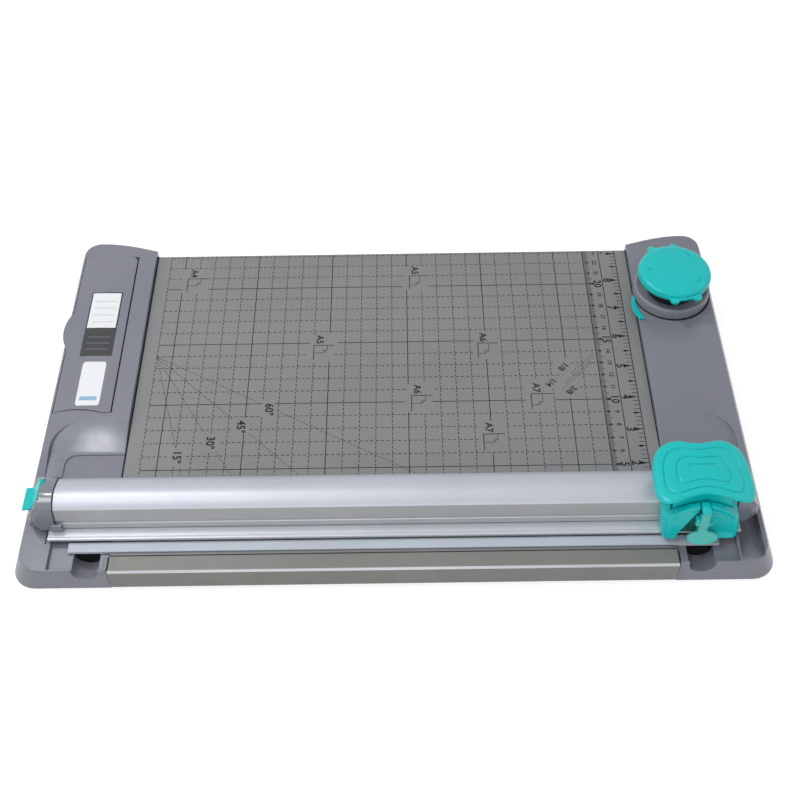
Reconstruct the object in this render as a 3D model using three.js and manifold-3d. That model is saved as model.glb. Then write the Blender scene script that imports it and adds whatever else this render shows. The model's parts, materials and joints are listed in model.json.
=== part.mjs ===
// Rotary paper trimmer with a corner rounder: millimetres, +Z up.
// In this file x runs along the cut, y goes back from the cut line, and z is height above the deck plate.
// Pieces of an end are built for the right-hand end, u being the distance out from the deck plate's end,
// and the left-hand ones are mirrored.
import * as THREE from "three";
import { mergeVertices } from "three/addons/utils/BufferGeometryUtils.js";
import Module from "manifold-3d";

const wasm = await Module();
wasm.setup();

// Driving sizes
const cutLength = 320;
const halfCut = cutLength / 2;
const plateAboveTable = 19.5;
const fit = 0.3; // gap between two pieces that touch
const running = 0.08; // radial clearance of a pin that turns
const overrun = 1.5; // how far a cutter passes the face it cuts
const turn = 2 * Math.PI;

const deck = { sheet: 1.2, front: 0.6, back: 233, endGap: 0.4, flange: 16, frontFlange: 5, bend: 1.4 };
const stiffener = { centre: 122, width: 46, height: 9, brim: 12, sheet: 1.4, endGap: 12 };
const mat = { width: 6.4, thick: 2, reach: 23.5 };
const channel = { wall: 1.7, floor: 1.7, lipDrop: 0.9 };
const apron = { front: -20.2, back: -9.4, sheet: 1.2, drop: 15.5, brim: 6, bend: 1.2, endGap: 0.4 };

const endCase = {
  deckRise: 4,
  frontRise: 0.5,
  deckReach: 50,
  footReach: 57.5,
  front: -19,
  backInner: 234.5,
  backRise: 8.1,
  frontCorner: 14,
  backCorner: 11,
  tableGap: 1.5,
  wall: 2.4,
  edge: 2.4,
  edgeDrop: 2.2,
  rampTop: 86,
  rampFoot: 64,
  rimRampFoot: 42,
  rampReach: 45,
  rampCorner: 20,
  rampSteps: 9,
};
const shelf = { reach: 35, back: 62, depth: 0.6, corner: 7 };
const recess = { reach: 33.6, rightReach: 33.2, rim: 1.2, backGap: 2 };
const barSeat = { reach: 36.9, front: -0.8, depth: 0.7 };
const scoop = { centre: 12.5, radius: 7.5, lip: 9.3, slope: 0.25, backGap: 2.4 };
const pocket = { inner: 34.8, outer: 48, depth: 7, rampFoot: -3.5, front: -17 };
const ledge = { reach: 8, thick: 3, frontGap: 2 };
const lowRoom = { front: -1, back: 231, outer: 50.5, ceiling: -10.4 };
const highRoom = { front: 92, back: 158, inner: 4, outer: 46 };
const boss = { radius: 4, bore: 1.6 };
const coverPlate = { thick: 2, gap: 0.35, screwHole: 2 };
const coverScrewPlaces = [
  [12, 14],
  [44, 84],
  [12, 222],
];
const screw = { shank: 1.25, head: 3.2, headHeight: 1.6, sink: 0.2, length: 6, slot: 0.8, slotDepth: 0.7 };
const foot = { radius: 7, height: 1.4, stem: 2.2, stemHole: 2.5, stemLength: 3 };
const footPlaces = [
  [28, 6],
  [30, 218],
];

const rail = {
  left: 31,
  right: 33.6,
  front: 7.6,
  depth: 28.4,
  bottom: 3.4,
  height: 17.6,
  wall: 1.6,
  grooveDepth: 1.2,
  grooveLow: 3.6,
  grooveHigh: 5.2,
};
// Cross-section of the rail as shares of its depth and height, from the front foot round by the back.
const railShares = [
  [0, 0],
  [1, 0],
  [1, 0.35],
  [0.972, 0.57],
  [0.88, 0.75],
  [0.761, 0.86],
  [0.63, 0.938],
  [0.514, 0.986],
  [0.394, 1],
  [0.317, 0.972],
  [0.246, 0.927],
  [0.162, 0.865],
  [0.099, 0.775],
];
const cap = {
  leftWidth: 15.2,
  rightWidth: 13,
  proud: 1.2,
  wall: 2,
  plugLength: 9,
  bevelRun: 7.4,
  bevelDrop: 11,
  frontBevelRun: 7,
  frontBevelDepth: 4.6,
  backBevelRun: 6.6,
  backBevelDepth: 6,
  hollowTop: 13,
  toeLength: 4.2,
  toeDepth: 2.1,
  toeHeight: 5,
};
const hinge = {
  inset: 5.9,
  rise: 1.6,
  radius: 2,
  inFromFront: 1,
  earRadius: 3.3,
  earThick: 4,
  earNeckIn: 3.3,
  earNeckOut: 1.1,
};
const earPlaces = [12.4, 27.4];
const latch = {
  front: 15.6,
  back: 30.4,
  gap: 0.45,
  thick: 2.2,
  upperStart: 1.6,
  pinAlong: 3.7,
  pinDepth: 2.05,
  pinRadius: 0.9,
  pinOverhang: 2,
  bossRadius: 1.9,
  lowerEnd: 12.3,
  tabReach: 4.3,
  tabThick: 1.8,
  tabDroop: 0.8,
  legThick: 2.4,
  legFoot: 0.8,
  nose: 2.2,
  noseHeight: 1.4,
  noseSlope: 1,
};
const strike = { inner: 39.9, sheet: 1.5, height: 5.6, footIn: 3.2, front: 15.2, back: 29.8 };
const strikeWindow = { front: 18.2, back: 26.8, high: 4.2 };

const bar = {
  beadTop: 3.1,
  beadBottom: 1.3,
  bead: 1.4,
  sheetTop: 2.6,
  sheetBottom: 1.6,
  front: 0.1,
  back: 35,
  left: 35.4,
};
const barEndGap = 1.4; // from the bar's right end to the hinge ears
const post = {
  inset: 5,
  radius: 1.8,
  hole: 2.1,
  guide: 2,
  flange: 3.9,
  flangeThick: 1,
  seat: 1.5,
  chamber: 4.3,
  chamberTop: 12.2,
};

const carriage = {
  left: 9.8,
  right: 33.3,
  front: -5.6,
  back: 39.4,
  bottom: 3.6,
  topFront: 30,
  topSide: 27.5,
  archDrop: 12,
  lean: 3.4,
  channelGap: 0.35,
  crownWall: 1.2,
  wellInset: 6,
  wellFront: 2,
  wellBack: 33.5,
  slotHalf: 13.5,
  slotBack: 8,
  frontWall: 1.7,
  windowRadius: 10.6,
  windowCentre: 13.5,
  frontCorner: 4.6,
  backCorner: 5,
  ribGap: 0.3,
  backFoot: 6,
  dishRadius: 15,
  dishDepth: 3,
  dishDrop: 5,
};
const pad = {
  halfWidth: 27.4,
  shift: 0.2,
  front: -2.2,
  depth: 40.8,
  rise: 38,
  thick: 2.4,
  droop: 5,
  columns: 20,
};
const neck = { halfWidth: 14.4, front: 4, back: 31, bottom: 25.9, boreRadius: 6.6, boreTop: 33, corner: 4 };
const leg = { halfWidth: 11, front: 4.2, back: 6.6, bottom: 8 };

const wheel = { radius: 12, thick: 0.4, plane: -0.7, lift: 3.1, bevel: 1.6 };
const axle = { radius: 2, front: -3.7, back: 3.5, end: 0.4 };
const cartridge = {
  front: -4.4,
  frontBack: -1.5,
  backPlate: 0.5,
  back: 3.9,
  bottom: 6.7,
  windowGap: 0.35,
  backRadius: 9,
  yokeTop: 9.8,
  yokeFront: -2.9,
  yokeHalf: 13.1,
  yokeWall: 1.2,
  stemHalf: 2.5,
  stemTop: 28.5,
  stemFront: -6.5,
  stemBack: -4,
  pinHalf: 4.8,
  pinHeight: 1.5,
  pinDrop: 9.5,
};
const paddle = { halfWidth: 8.6, halfHeight: 4.4, thick: 2, centreRise: 8.8, centreFront: -7.9, tilt: 0.41 };

const lid = {
  inner: 12.4,
  outer: 47.7,
  front: 94.4,
  back: 230.3,
  bow: 2.4,
  bowCentre: 33,
  bowSteps: 6,
  backCorner: 4,
  thick: 2.4,
  crown: 0.7,
  gap: 0.35,
  hingeGap: 0.8,
  pinInset: 2.2,
  pinDrop: 1.4,
  pinRadius: 0.9,
  pinLength: 1.6,
  tabFront: 144,
  tabBack: 177,
  tabReach: 4.6,
  crownSteps: 6,
};
const bay = { front: 97, back: 224, outer: 45.5, floor: -8, hingeRun: 18, hingeDepth: 4.2 };

const rounder = { u: 23.5, y: 187.2 };
const turret = { radius: 24.8, rise: 6.9, bore: 15.6, rim: 3.2, dishDepth: 3.4, segments: 40 };
const rotorRoom = { radius: 16.2, floor: -5.3, shaftHole: 3.6, chipHole: 4.2 };
const paperSlot = { front: 172, back: 203, low: -0.1, high: 1.9, depth: 22 };
const die = { radius: 15.5, top: -0.3, thick: 4.6, bore: 3.3 };
const guide = { radius: 14.8, bottom: 2.1, top: 6.2, tube: 5.2 };
const punch = { orbit: 9.8, width: 7, depth: 5, gap: 0.15, bottom: 2.5, top: 14.2, biteShare: 0.45 };
const punchCount = 3;
const plunger = {
  radius: 13.6,
  bottom: 14.5,
  top: 17.2,
  shaft: 3,
  shaftBottom: -3.6,
  spigot: 5,
  spigotTop: 20,
};
const knob = {
  radius: 23.2,
  bottom: 19.3,
  bandTop: 22.9,
  top: 25,
  hub: 7.5,
  wall: 2.6,
  ceiling: 22.2,
  segments: 48,
};
const knobTab = { radius: 3.2, orbit: 24.3, bottom: 20, top: 22.2, axis: 100.5, spread: 17.8 };
const lip = {
  radius: 23.7,
  u: 20.2,
  y: 175,
  thick: 1.3,
  front: 162.6,
  back: 184.6,
  innerRadius: 30,
  innerU: 29.2,
  innerY: 178.2,
};

const pressSpring = { radius: 4.6, wire: 0.8, turns: 5 };
const barSpring = { radius: 2.95, wire: 0.6, turns: 4 };
const rounderSpring = { radius: 4.2, wire: 0.8, turns: 4 };
const springSides = 5;
const springStepsPerTurn = 8;

// Heights and places worked out from those sizes
const tableLevel = -plateAboveTable;
const caseBottom = tableLevel + endCase.tableGap;
const railTop = rail.bottom + rail.height;
const railBack = rail.front + rail.depth;
const postY = rail.front + rail.depth / 2;
const postLeftX = -halfCut - rail.left + post.inset;
const postRightX = halfCut + rail.right - post.inset;
const postChamberFloor = rail.bottom + rail.wall + fit + post.seat;
const matBottom = -mat.thick;
const channelTop = matBottom - fit;
const channelBottom = channelTop - channel.floor;
const channelFront = -mat.width - fit - channel.wall;
const recessFloor = channelTop;
const leftCapInner = rail.left + fit;
const leftCapOuter = leftCapInner + cap.leftWidth;
const rightCapInner = rail.right + fit;
const rightCapOuter = rightCapInner + cap.rightWidth;
const hingeU = rightCapOuter - hinge.inset;
const hingeZ = rail.bottom + hinge.rise;
const headMiddle = (carriage.right - carriage.left) / 2;
const wheelCentre = wheel.lift + wheel.radius;

// Colours and finishes
const finishes = {
  casing: { color: "#85858f", roughness: 0.55, metalness: 0 },
  grip: { color: "#35c4c1", roughness: 0.45, metalness: 0 },
  key: { color: "#55beb0", roughness: 0.5, metalness: 0 },
  sheet: { color: "#868785", roughness: 0.5, metalness: 0.3 },
  aluminium: { color: "#d9dce1", roughness: 0.3, metalness: 0.9 },
  steel: { color: "#b9bcc0", roughness: 0.28, metalness: 1 },
  zinc: { color: "#9a9c9f", roughness: 0.5, metalness: 0.9 },
  matStrip: { color: "#c8d2da", roughness: 0.6, metalness: 0 },
  rubber: { color: "#2b2b2d", roughness: 0.9, metalness: 0 },
  darkPlastic: { color: "#3a3c42", roughness: 0.6, metalness: 0 },
};
const materials = Object.fromEntries(
  Object.entries(finishes).map(([name, values]) => [name, new THREE.MeshStandardMaterial(values)]),
);

// A closed geometry as a solid that can be joined and cut.
function solid(geometry) {
  const bare = geometry.clone();
  bare.deleteAttribute("normal");
  bare.deleteAttribute("uv");
  const merged = mergeVertices(bare);
  const vertProperties = merged.attributes.position.array;
  const triVerts = new Uint32Array(merged.index.array);
  return new wasm.Manifold(new wasm.Mesh({ numProp: 3, vertProperties, triVerts }));
}

function join(...solids) {
  return solids.reduce((sum, next) => sum.add(next));
}

function cut(body, ...cutters) {
  return cutters.reduce((rest, next) => rest.subtract(next), body);
}

// The solid as a geometry, mirrored to the left-hand end if asked.
function geometryOf(body, mirrored = false) {
  const made = body.getMesh();
  const index = Array.from(made.triVerts);
  const positions = Float32Array.from(made.vertProperties);
  if (mirrored) {
    for (let i = 0; i < positions.length; i += 3) positions[i] = -positions[i];
    for (let i = 0; i < index.length; i += 3) [index[i], index[i + 1]] = [index[i + 1], index[i]];
  }
  const geometry = new THREE.BufferGeometry();
  geometry.setAttribute("position", new THREE.BufferAttribute(positions, 3));
  geometry.setIndex(index);
  const flat = geometry.toNonIndexed();
  flat.computeVertexNormals();
  return flat;
}

function box(x0, x1, y0, y1, z0, z1) {
  const geometry = new THREE.BoxGeometry(x1 - x0, y1 - y0, z1 - z0);
  geometry.translate((x0 + x1) / 2, (y0 + y1) / 2, (z0 + z1) / 2);
  return solid(geometry);
}

function shapeOf(points) {
  return new THREE.Shape(points.map(([a, b]) => new THREE.Vector2(a, b)));
}

function extruded(shape, length) {
  return new THREE.ExtrudeGeometry(shape, { depth: length, bevelEnabled: false, curveSegments: 10 });
}

// Prisms along x (points in y, z), along y (points in x, z) and along z (points in x, y)
const alongX = new THREE.Matrix4().set(0, 0, 1, 0, 1, 0, 0, 0, 0, 1, 0, 0, 0, 0, 0, 1);
const alongY = new THREE.Matrix4().set(1, 0, 0, 0, 0, 0, -1, 0, 0, 1, 0, 0, 0, 0, 0, 1);

function prismX(points, x0, x1) {
  const geometry = extruded(shapeOf(points), x1 - x0).applyMatrix4(alongX);
  return solid(geometry.translate(x0, 0, 0));
}

function prismY(points, y0, y1) {
  const geometry = extruded(shapeOf(points), y1 - y0).applyMatrix4(alongY);
  return solid(geometry.translate(0, y1, 0));
}

function prismZ(points, z0, z1) {
  return solid(extruded(shapeOf(points), z1 - z0).translate(0, 0, z0));
}

function rodZ(x, y, radius, z0, z1, segments = 24) {
  const geometry = new THREE.CylinderGeometry(radius, radius, z1 - z0, segments);
  geometry.rotateX(turn / 4);
  return solid(geometry.translate(x, y, (z0 + z1) / 2));
}

function rodY(x, z, radius, y0, y1, segments = 24) {
  const geometry = new THREE.CylinderGeometry(radius, radius, y1 - y0, segments);
  return solid(geometry.translate(x, (y0 + y1) / 2, z));
}

// A turned piece about a vertical axis, its profile in radius and height, closed on itself or on the axis.
function turned(profile, x, y, segments) {
  const points = profile.map(([r, z]) => new THREE.Vector2(r, z));
  if (profile[0][0] > 0) points.push(points[0].clone());
  const geometry = new THREE.LatheGeometry(points, segments);
  geometry.rotateX(turn / 4);
  return solid(geometry.translate(x, y, 0));
}

function arc(x, y, radius, from, to, steps) {
  const points = [];
  for (let i = 0; i <= steps; i++) {
    const angle = from + ((to - from) * i) / steps;
    points.push([x + radius * Math.cos(angle), y + radius * Math.sin(angle)]);
  }
  return points;
}

// A convex outline moved outwards by a distance, or inwards by a negative one.
function offset(points, distance) {
  return points.map((point, i) => {
    const before = points[(i + points.length - 1) % points.length];
    const after = points[(i + 1) % points.length];
    const a = new THREE.Vector2(point[0] - before[0], point[1] - before[1]).normalize();
    const b = new THREE.Vector2(after[0] - point[0], after[1] - point[1]).normalize();
    const outA = new THREE.Vector2(a.y, -a.x);
    const outB = new THREE.Vector2(b.y, -b.x);
    const miter = outA.clone().add(outB).normalize();
    const stretch = distance / miter.dot(outA);
    return [point[0] + miter.x * stretch, point[1] + miter.y * stretch];
  });
}

// A closed skin through rings of equal count, lowest first, each counter-clockwise seen from above.
function loft(rings) {
  const count = rings[0].length;
  const index = [];
  for (let k = 0; k + 1 < rings.length; k++) {
    for (let i = 0; i < count; i++) {
      const a = k * count + i;
      const b = k * count + ((i + 1) % count);
      index.push(a, b, b + count, a, b + count, a + count);
    }
  }
  const flatRing = (ring) => ring.map(([x, y]) => new THREE.Vector2(x, y));
  const last = (rings.length - 1) * count;
  for (const [a, b, c] of THREE.ShapeUtils.triangulateShape(flatRing(rings[0]), [])) index.push(c, b, a);
  for (const [a, b, c] of THREE.ShapeUtils.triangulateShape(flatRing(rings.at(-1)), [])) {
    index.push(last + a, last + b, last + c);
  }
  const geometry = new THREE.BufferGeometry();
  geometry.setAttribute("position", new THREE.Float32BufferAttribute(rings.flat(2), 3));
  geometry.setIndex(index);
  return solid(geometry);
}

// A compression spring from z0 to z1 about a vertical axis, with its least gap between turns printed.
class Helix extends THREE.Curve {
  constructor(x, y, spring, z0, z1) {
    super();
    Object.assign(this, { x, y, spring, z0, z1 });
  }
  getPoint(t, target = new THREE.Vector3()) {
    const { radius, wire, turns } = this.spring;
    const angle = turn * turns * t;
    const low = this.z0 + wire / 2;
    const high = this.z1 - wire / 2;
    const x = this.x + radius * Math.cos(angle);
    const y = this.y + radius * Math.sin(angle);
    return target.set(x, y, low + (high - low) * t);
  }
}

function springSolid(name, x, y, spring, z0, z1) {
  const steps = spring.turns * springStepsPerTurn;
  const path = new Helix(x, y, spring, z0, z1);
  const section = new THREE.Shape(
    arc(0, 0, spring.wire / 2, 0, turn, springSides)
      .slice(0, springSides)
      .map(([a, b]) => new THREE.Vector2(a, b)),
  );
  let least = Infinity;
  for (let i = 0; i + springStepsPerTurn <= steps; i++) {
    const here = path.getPoint(i / steps);
    const above = path.getPoint((i + springStepsPerTurn) / steps);
    least = Math.min(least, here.distanceTo(above) - spring.wire);
  }
  console.log(name + " least gap between turns " + least.toFixed(2) + " mm");
  return solid(new THREE.ExtrudeGeometry(section, { steps, bevelEnabled: false, extrudePath: path }));
}

const part = new THREE.Group();

function addNode(name, body, material, mirrored = false) {
  const mesh = new THREE.Mesh(geometryOf(body, mirrored), materials[material]);
  mesh.name = name;
  part.add(mesh);
}

// A plain block, prism or rod placed by its distance out from the deck plate's end
function endBox(u0, u1, y0, y1, z0, z1) {
  return box(halfCut + u0, halfCut + u1, y0, y1, z0, z1);
}

function endRodZ(u, y, radius, z0, z1, segments) {
  return rodZ(halfCut + u, y, radius, z0, z1, segments);
}

function fromEnd(points) {
  return points.map(([u, other]) => [halfCut + u, other]);
}

// End cases: outer skin, flared down to the table, with a rounded upper edge
function caseRing(reach, inset, z) {
  const outer = reach - inset;
  const frontCorner = Math.max(endCase.frontCorner - inset, endCase.wall);
  const backCorner = Math.max(endCase.backCorner - inset, endCase.wall);
  const frontY = endCase.front + inset;
  const backTop = endCase.backInner + endCase.backRise - inset;
  const quarter = turn / 4;
  const cornerSteps = 6;
  const backSteps = 6;
  const points = [[0, frontY]];
  points.push(...arc(outer - frontCorner, frontY + frontCorner, frontCorner, -quarter, 0, cornerSteps));
  points.push(...arc(outer - backCorner, backTop - backCorner, backCorner, 0, quarter, cornerSteps));
  for (let i = 1; i <= backSteps; i++) {
    const share = 1 - i / backSteps;
    const y = backTop - endCase.backRise * (1 - Math.sin(share * quarter));
    points.push([(outer - backCorner) * share, y]);
  }
  return points.map(([u, y]) => [halfCut + u, y, z]);
}

function caseSkin() {
  const { deckReach, footReach, edge, edgeDrop, deckRise } = endCase;
  const halfEdge = edge * (1 - Math.SQRT1_2);
  const halfDrop = edgeDrop * (1 - Math.SQRT1_2);
  return loft([
    caseRing(footReach, 0, caseBottom),
    caseRing(deckReach, 0, deckRise - edgeDrop),
    caseRing(deckReach, halfEdge, deckRise - halfDrop),
    caseRing(deckReach, edge, deckRise),
  ]);
}

// Everything cut from both cases: front step, ramps, shelf, recess for the mat, finger scoop and inner room
function caseCuts(recessReach) {
  const { frontRise, deckRise, rampTop, rampFoot, rimRampFoot, rampReach, rampCorner, wall } = endCase;
  const sky = deckRise + overrun;
  const outside = endCase.footReach + overrun;
  const slope = (deckRise - frontRise) / (rampTop - rampFoot);
  const rampEnd = rampTop + overrun / slope;
  const rim = prismX(
    [
      [endCase.front - overrun, frontRise],
      [rimRampFoot, frontRise],
      [rimRampFoot + rampEnd - rampFoot, sky],
      [endCase.front - overrun, sky],
    ],
    halfCut - overrun,
    halfCut + outside,
  );
  const plan = fromEnd([
    [-overrun, rimRampFoot - overrun],
    [rampReach, rimRampFoot - overrun],
    ...arc(rampReach - rampCorner, rampTop - rampCorner, rampCorner, 0, turn / 4, endCase.rampSteps),
    [-overrun, rampTop],
  ]);
  const slopeSpace = prismX(
    [
      [rimRampFoot - 2 * overrun, frontRise],
      [rampFoot, frontRise],
      [rampEnd, sky],
      [rimRampFoot - 2 * overrun, sky],
    ],
    halfCut - overrun,
    halfCut + outside,
  );
  const ramp = prismZ(plan, frontRise, sky).intersect(slopeSpace);
  const shelfPlan = fromEnd([
    [-overrun, railBack],
    [shelf.reach, railBack],
    ...arc(shelf.reach - shelf.corner, shelf.back - shelf.corner, shelf.corner, 0, turn / 4, 6),
    [-overrun, shelf.back],
  ]);
  const shelfCut = prismZ(shelfPlan, -shelf.depth, sky);
  const recessCut = endBox(
    -overrun,
    recessReach,
    endCase.front + recess.rim,
    railBack + recess.backGap,
    recessFloor,
    sky,
  );
  const seatBack = railBack + recess.backGap;
  const seatCut = endBox(-overrun, barSeat.reach, barSeat.front, seatBack, -barSeat.depth, sky);
  const { outer, front, back, ceiling } = lowRoom;
  const roomLow = endBox(wall, outer, front, back, caseBottom - overrun, ceiling);
  const scoopLength = -endCase.front + overrun - scoop.backGap;
  const scoopFall = scoop.slope * scoopLength;
  const scoopRise = frontRise - scoop.lip;
  const scoopCut = loft(
    [0, 1].map((end) => {
      const y = end ? endCase.front - overrun : -scoop.backGap;
      const floor = end ? scoopRise : scoopRise - scoopFall;
      const middle = floor + scoop.radius;
      const low = arc(scoop.centre, middle, scoop.radius, turn / 2, turn, 12);
      const high = [
        [scoop.centre + scoop.radius, sky],
        [scoop.centre - scoop.radius, sky],
      ];
      return [...low, ...high].map(([u, z]) => [halfCut + u, z, -y]);
    }),
  );
  return [rim, ramp, shelfCut, recessCut, seatCut, roomLow, laidDown(scoopCut)];
}

// A loft whose rings are stacked along y is made along z and laid down.
function laidDown(body) {
  const geometry = geometryOf(body);
  geometry.rotateX(turn / 4);
  return solid(geometry);
}

// Ledges under the deck plate's end, the apron's end and the mat channel's end
function caseLedges() {
  const { reach, thick, frontGap } = ledge;
  const root = endCase.wall;
  const underDeck = -deck.sheet - fit;
  const underApron = -apron.sheet - fit;
  const underChannel = channelBottom - fit;
  const deckInner = deck.front + deck.sheet + frontGap;
  const deckOuter = deck.back - deck.sheet - frontGap;
  return join(
    endBox(-reach, root, deckInner, deckOuter, underDeck - thick, underDeck),
    endBox(-reach, root, apron.front + apron.sheet + fit, apron.back, underApron - thick, underApron),
    endBox(-reach, root, channelFront, deck.front - fit, underChannel - thick, underChannel),
  );
}

function caseBosses() {
  return join(
    ...coverScrewPlaces.map(([u, y]) =>
      endRodZ(u, y, boss.radius, caseBottom + coverPlate.thick + fit, lowRoom.ceiling + overrun, 16),
    ),
  );
}

function caseBossBores() {
  const top = lowRoom.ceiling - endCase.wall / 2;
  return join(...coverScrewPlaces.map(([u, y]) => endRodZ(u, y, boss.bore, caseBottom, top, 12)));
}

function endShell(recessReach, cuts) {
  const hollow = cut(caseSkin(), ...caseCuts(recessReach));
  return cut(join(hollow, caseLedges(), caseBosses()), caseBossBores(), ...cuts);
}

// Left case: storage bay under the lid
const lidPin = { u: lid.inner + lid.pinInset, z: endCase.deckRise - lid.pinDrop };
const lidBow = (u) => {
  const share = (Math.max(u, bay.hingeRun) - lid.bowCentre) / (lid.bowCentre - bay.hingeRun);
  return lid.bow * share * share;
};
const lidPinFront = lid.front - lidBow(lidPin.u);
const lidPinBack = lid.back - lidBow(lidPin.u);

// Lid seen from above, grown by its gaps: bowed along both short edges and round at the inner back corner
function lidPlan(gap, hingeGap) {
  const inner = lid.inner - hingeGap;
  const outer = lid.outer + gap;
  const corner = inner + lid.backCorner;
  const edge = (from, to, y) =>
    Array.from({ length: lid.bowSteps + 1 }, (_, i) => {
      const u = from + ((to - from) * i) / lid.bowSteps;
      return [u, y - lidBow(u)];
    });
  const back = lid.back + gap;
  return fromEnd([
    [inner, lid.front - gap - lidBow(inner)],
    ...edge(bay.hingeRun, outer, lid.front - gap),
    ...edge(outer, bay.hingeRun, back),
    ...arc(corner, back - lidBow(corner) - lid.backCorner, lid.backCorner, turn / 4, turn / 2, 6),
  ]);
}

function leftCase() {
  const sky = endCase.deckRise + overrun;
  const lidBottom = endCase.deckRise - lid.thick;
  const seat = prismZ(lidPlan(lid.gap, lid.hingeGap), lidBottom - fit, sky);
  const hingeRoom = endBox(
    lid.inner - lid.hingeGap,
    bay.hingeRun,
    lidPinFront - lid.gap,
    lidPinBack + lid.gap,
    endCase.deckRise - bay.hingeDepth,
    sky,
  );
  const room = endBox(lid.inner - lid.hingeGap, bay.outer, bay.front, bay.back, bay.floor, sky);
  const tabNotch = endBox(
    bay.outer + endCase.wall,
    endCase.footReach + overrun,
    lid.tabFront - lid.gap,
    lid.tabBack + lid.gap,
    lidBottom - fit,
    sky,
  );
  const reach = lid.pinLength + lid.gap + fit;
  const pinHoles = rodY(
    halfCut + lidPin.u,
    lidPin.z,
    lid.pinRadius + running,
    lidPinFront - reach,
    lidPinBack + reach,
    24,
  );
  return endShell(recess.reach, [seat, hingeRoom, room, tabNotch, pinHoles]);
}

// Right case: tail pocket, hinge ears, high room, and the corner rounder's cup and slot
const hingeX = halfCut + hingeU;

function hingeEars() {
  const ears = earPlaces.map((y) => {
    const neckBox = box(
      hingeX - hinge.earNeckIn,
      hingeX + hinge.earNeckOut,
      y,
      y + hinge.earThick,
      -pocket.depth - overrun,
      hingeZ,
    );
    return join(rodY(hingeX, hingeZ, hinge.earRadius, y, y + hinge.earThick), neckBox);
  });
  return join(...ears);
}

function rightCase() {
  const sky = endCase.deckRise + overrun;
  const pocketCut = prismX(
    [
      [pocket.front, endCase.frontRise],
      [pocket.rampFoot, -pocket.depth],
      [railBack + recess.backGap, -pocket.depth],
      [railBack + recess.backGap, sky],
      [pocket.front, sky],
    ],
    halfCut + pocket.inner,
    halfCut + pocket.outer,
  );
  const pinBore = rodY(
    hingeX,
    hingeZ,
    hinge.radius + running,
    earPlaces[0] - overrun,
    earPlaces[1] + hinge.earThick + overrun,
  );
  const roomHigh = endBox(
    highRoom.inner,
    highRoom.outer,
    highRoom.front,
    highRoom.back,
    lowRoom.ceiling - overrun,
    endCase.deckRise - endCase.wall,
  );
  const cup = endRodZ(rounder.u, rounder.y, rotorRoom.radius, rotorRoom.floor, sky, 36);
  const shaftHole = endRodZ(rounder.u, rounder.y, rotorRoom.shaftHole, lowRoom.ceiling - overrun, sky, 20);
  const chipHole = endRodZ(
    rounder.u - punch.orbit,
    rounder.y,
    rotorRoom.chipHole,
    lowRoom.ceiling - overrun,
    sky - overrun - endCase.deckRise,
    16,
  );
  const slot = endBox(
    -overrun,
    paperSlot.depth,
    paperSlot.front,
    paperSlot.back,
    paperSlot.low,
    paperSlot.high,
  );
  const body = endShell(recess.rightReach, [pocketCut, roomHigh, cup, shaftHole, chipHole, slot]);
  return cut(join(body, hingeEars()), pinBore);
}

// Bottom cover of a case, with its screws and feet
function bottomCover() {
  const plate = endBox(
    endCase.wall + coverPlate.gap,
    lowRoom.outer - coverPlate.gap,
    lowRoom.front + coverPlate.gap,
    lowRoom.back - coverPlate.gap,
    caseBottom,
    caseBottom + coverPlate.thick,
  );
  const holes = coverScrewPlaces.map(([u, y]) =>
    endRodZ(u, y, coverPlate.screwHole, caseBottom - overrun, caseBottom + coverPlate.thick + overrun, 12),
  );
  const stemHoles = footPlaces.map(([u, y]) =>
    endRodZ(u, y, foot.stemHole, caseBottom - overrun, caseBottom + coverPlate.thick + overrun, 12),
  );
  return cut(plate, ...holes, ...stemHoles);
}

function coverScrew(u, y) {
  const headTop = caseBottom - screw.sink;
  const profile = [
    [0, headTop - screw.headHeight + screw.headHeight / 2],
    [screw.head, headTop - screw.headHeight / 2],
    [screw.head, headTop - fit / 2],
    [screw.shank, headTop],
    [screw.shank, headTop + screw.length - screw.shank],
    [0, headTop + screw.length],
  ];
  const body = turned(profile, halfCut + u, y, 12);
  const slotCut = endBox(
    u - screw.head - overrun,
    u + screw.head + overrun,
    y - screw.slot / 2,
    y + screw.slot / 2,
    headTop - screw.headHeight,
    headTop - screw.headHeight / 2 + screw.slotDepth / 2,
  );
  return cut(body, slotCut);
}

function rubberFoot(u, y) {
  const padTop = caseBottom - fit / 2;
  const profile = [
    [0, tableLevel],
    [foot.radius - foot.height / 2, tableLevel],
    [foot.radius, tableLevel + foot.height / 2],
    [foot.radius, padTop],
    [foot.stem, padTop],
    [foot.stem, padTop + foot.stemLength],
    [0, padTop + foot.stemLength],
  ];
  return turned(profile, halfCut + u, y, 20);
}

// Deck plate: one sheet, folded down at the back and at the mat channel
function deckPlate() {
  const { sheet, front, back, flange, frontFlange, bend } = deck;
  const end = halfCut - deck.endGap;
  return prismX(
    [
      [front, -frontFlange],
      [front + sheet, -frontFlange],
      [front + sheet, -sheet],
      [back - sheet, -sheet],
      [back - sheet, -flange],
      [back, -flange],
      [back, -bend],
      [back - bend, 0],
      [front, 0],
    ],
    -end,
    end,
  );
}

// Hat-section stiffener that carries the middle of the deck plate
function deckStiffener() {
  const { centre, width, height, brim, sheet, endGap } = stiffener;
  const top = -deck.sheet - fit;
  const inner = centre - width / 2;
  const outer = centre + width / 2;
  const end = halfCut - endGap;
  return prismX(
    [
      [inner - brim, top - sheet],
      [inner - sheet, top - sheet],
      [inner - sheet, top - height],
      [outer + sheet, top - height],
      [outer + sheet, top - sheet],
      [outer + brim, top - sheet],
      [outer + brim, top],
      [outer, top],
      [outer, top - height + sheet],
      [inner, top - height + sheet],
      [inner, top],
      [inner - brim, top],
    ],
    -end,
    end,
  );
}

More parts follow.
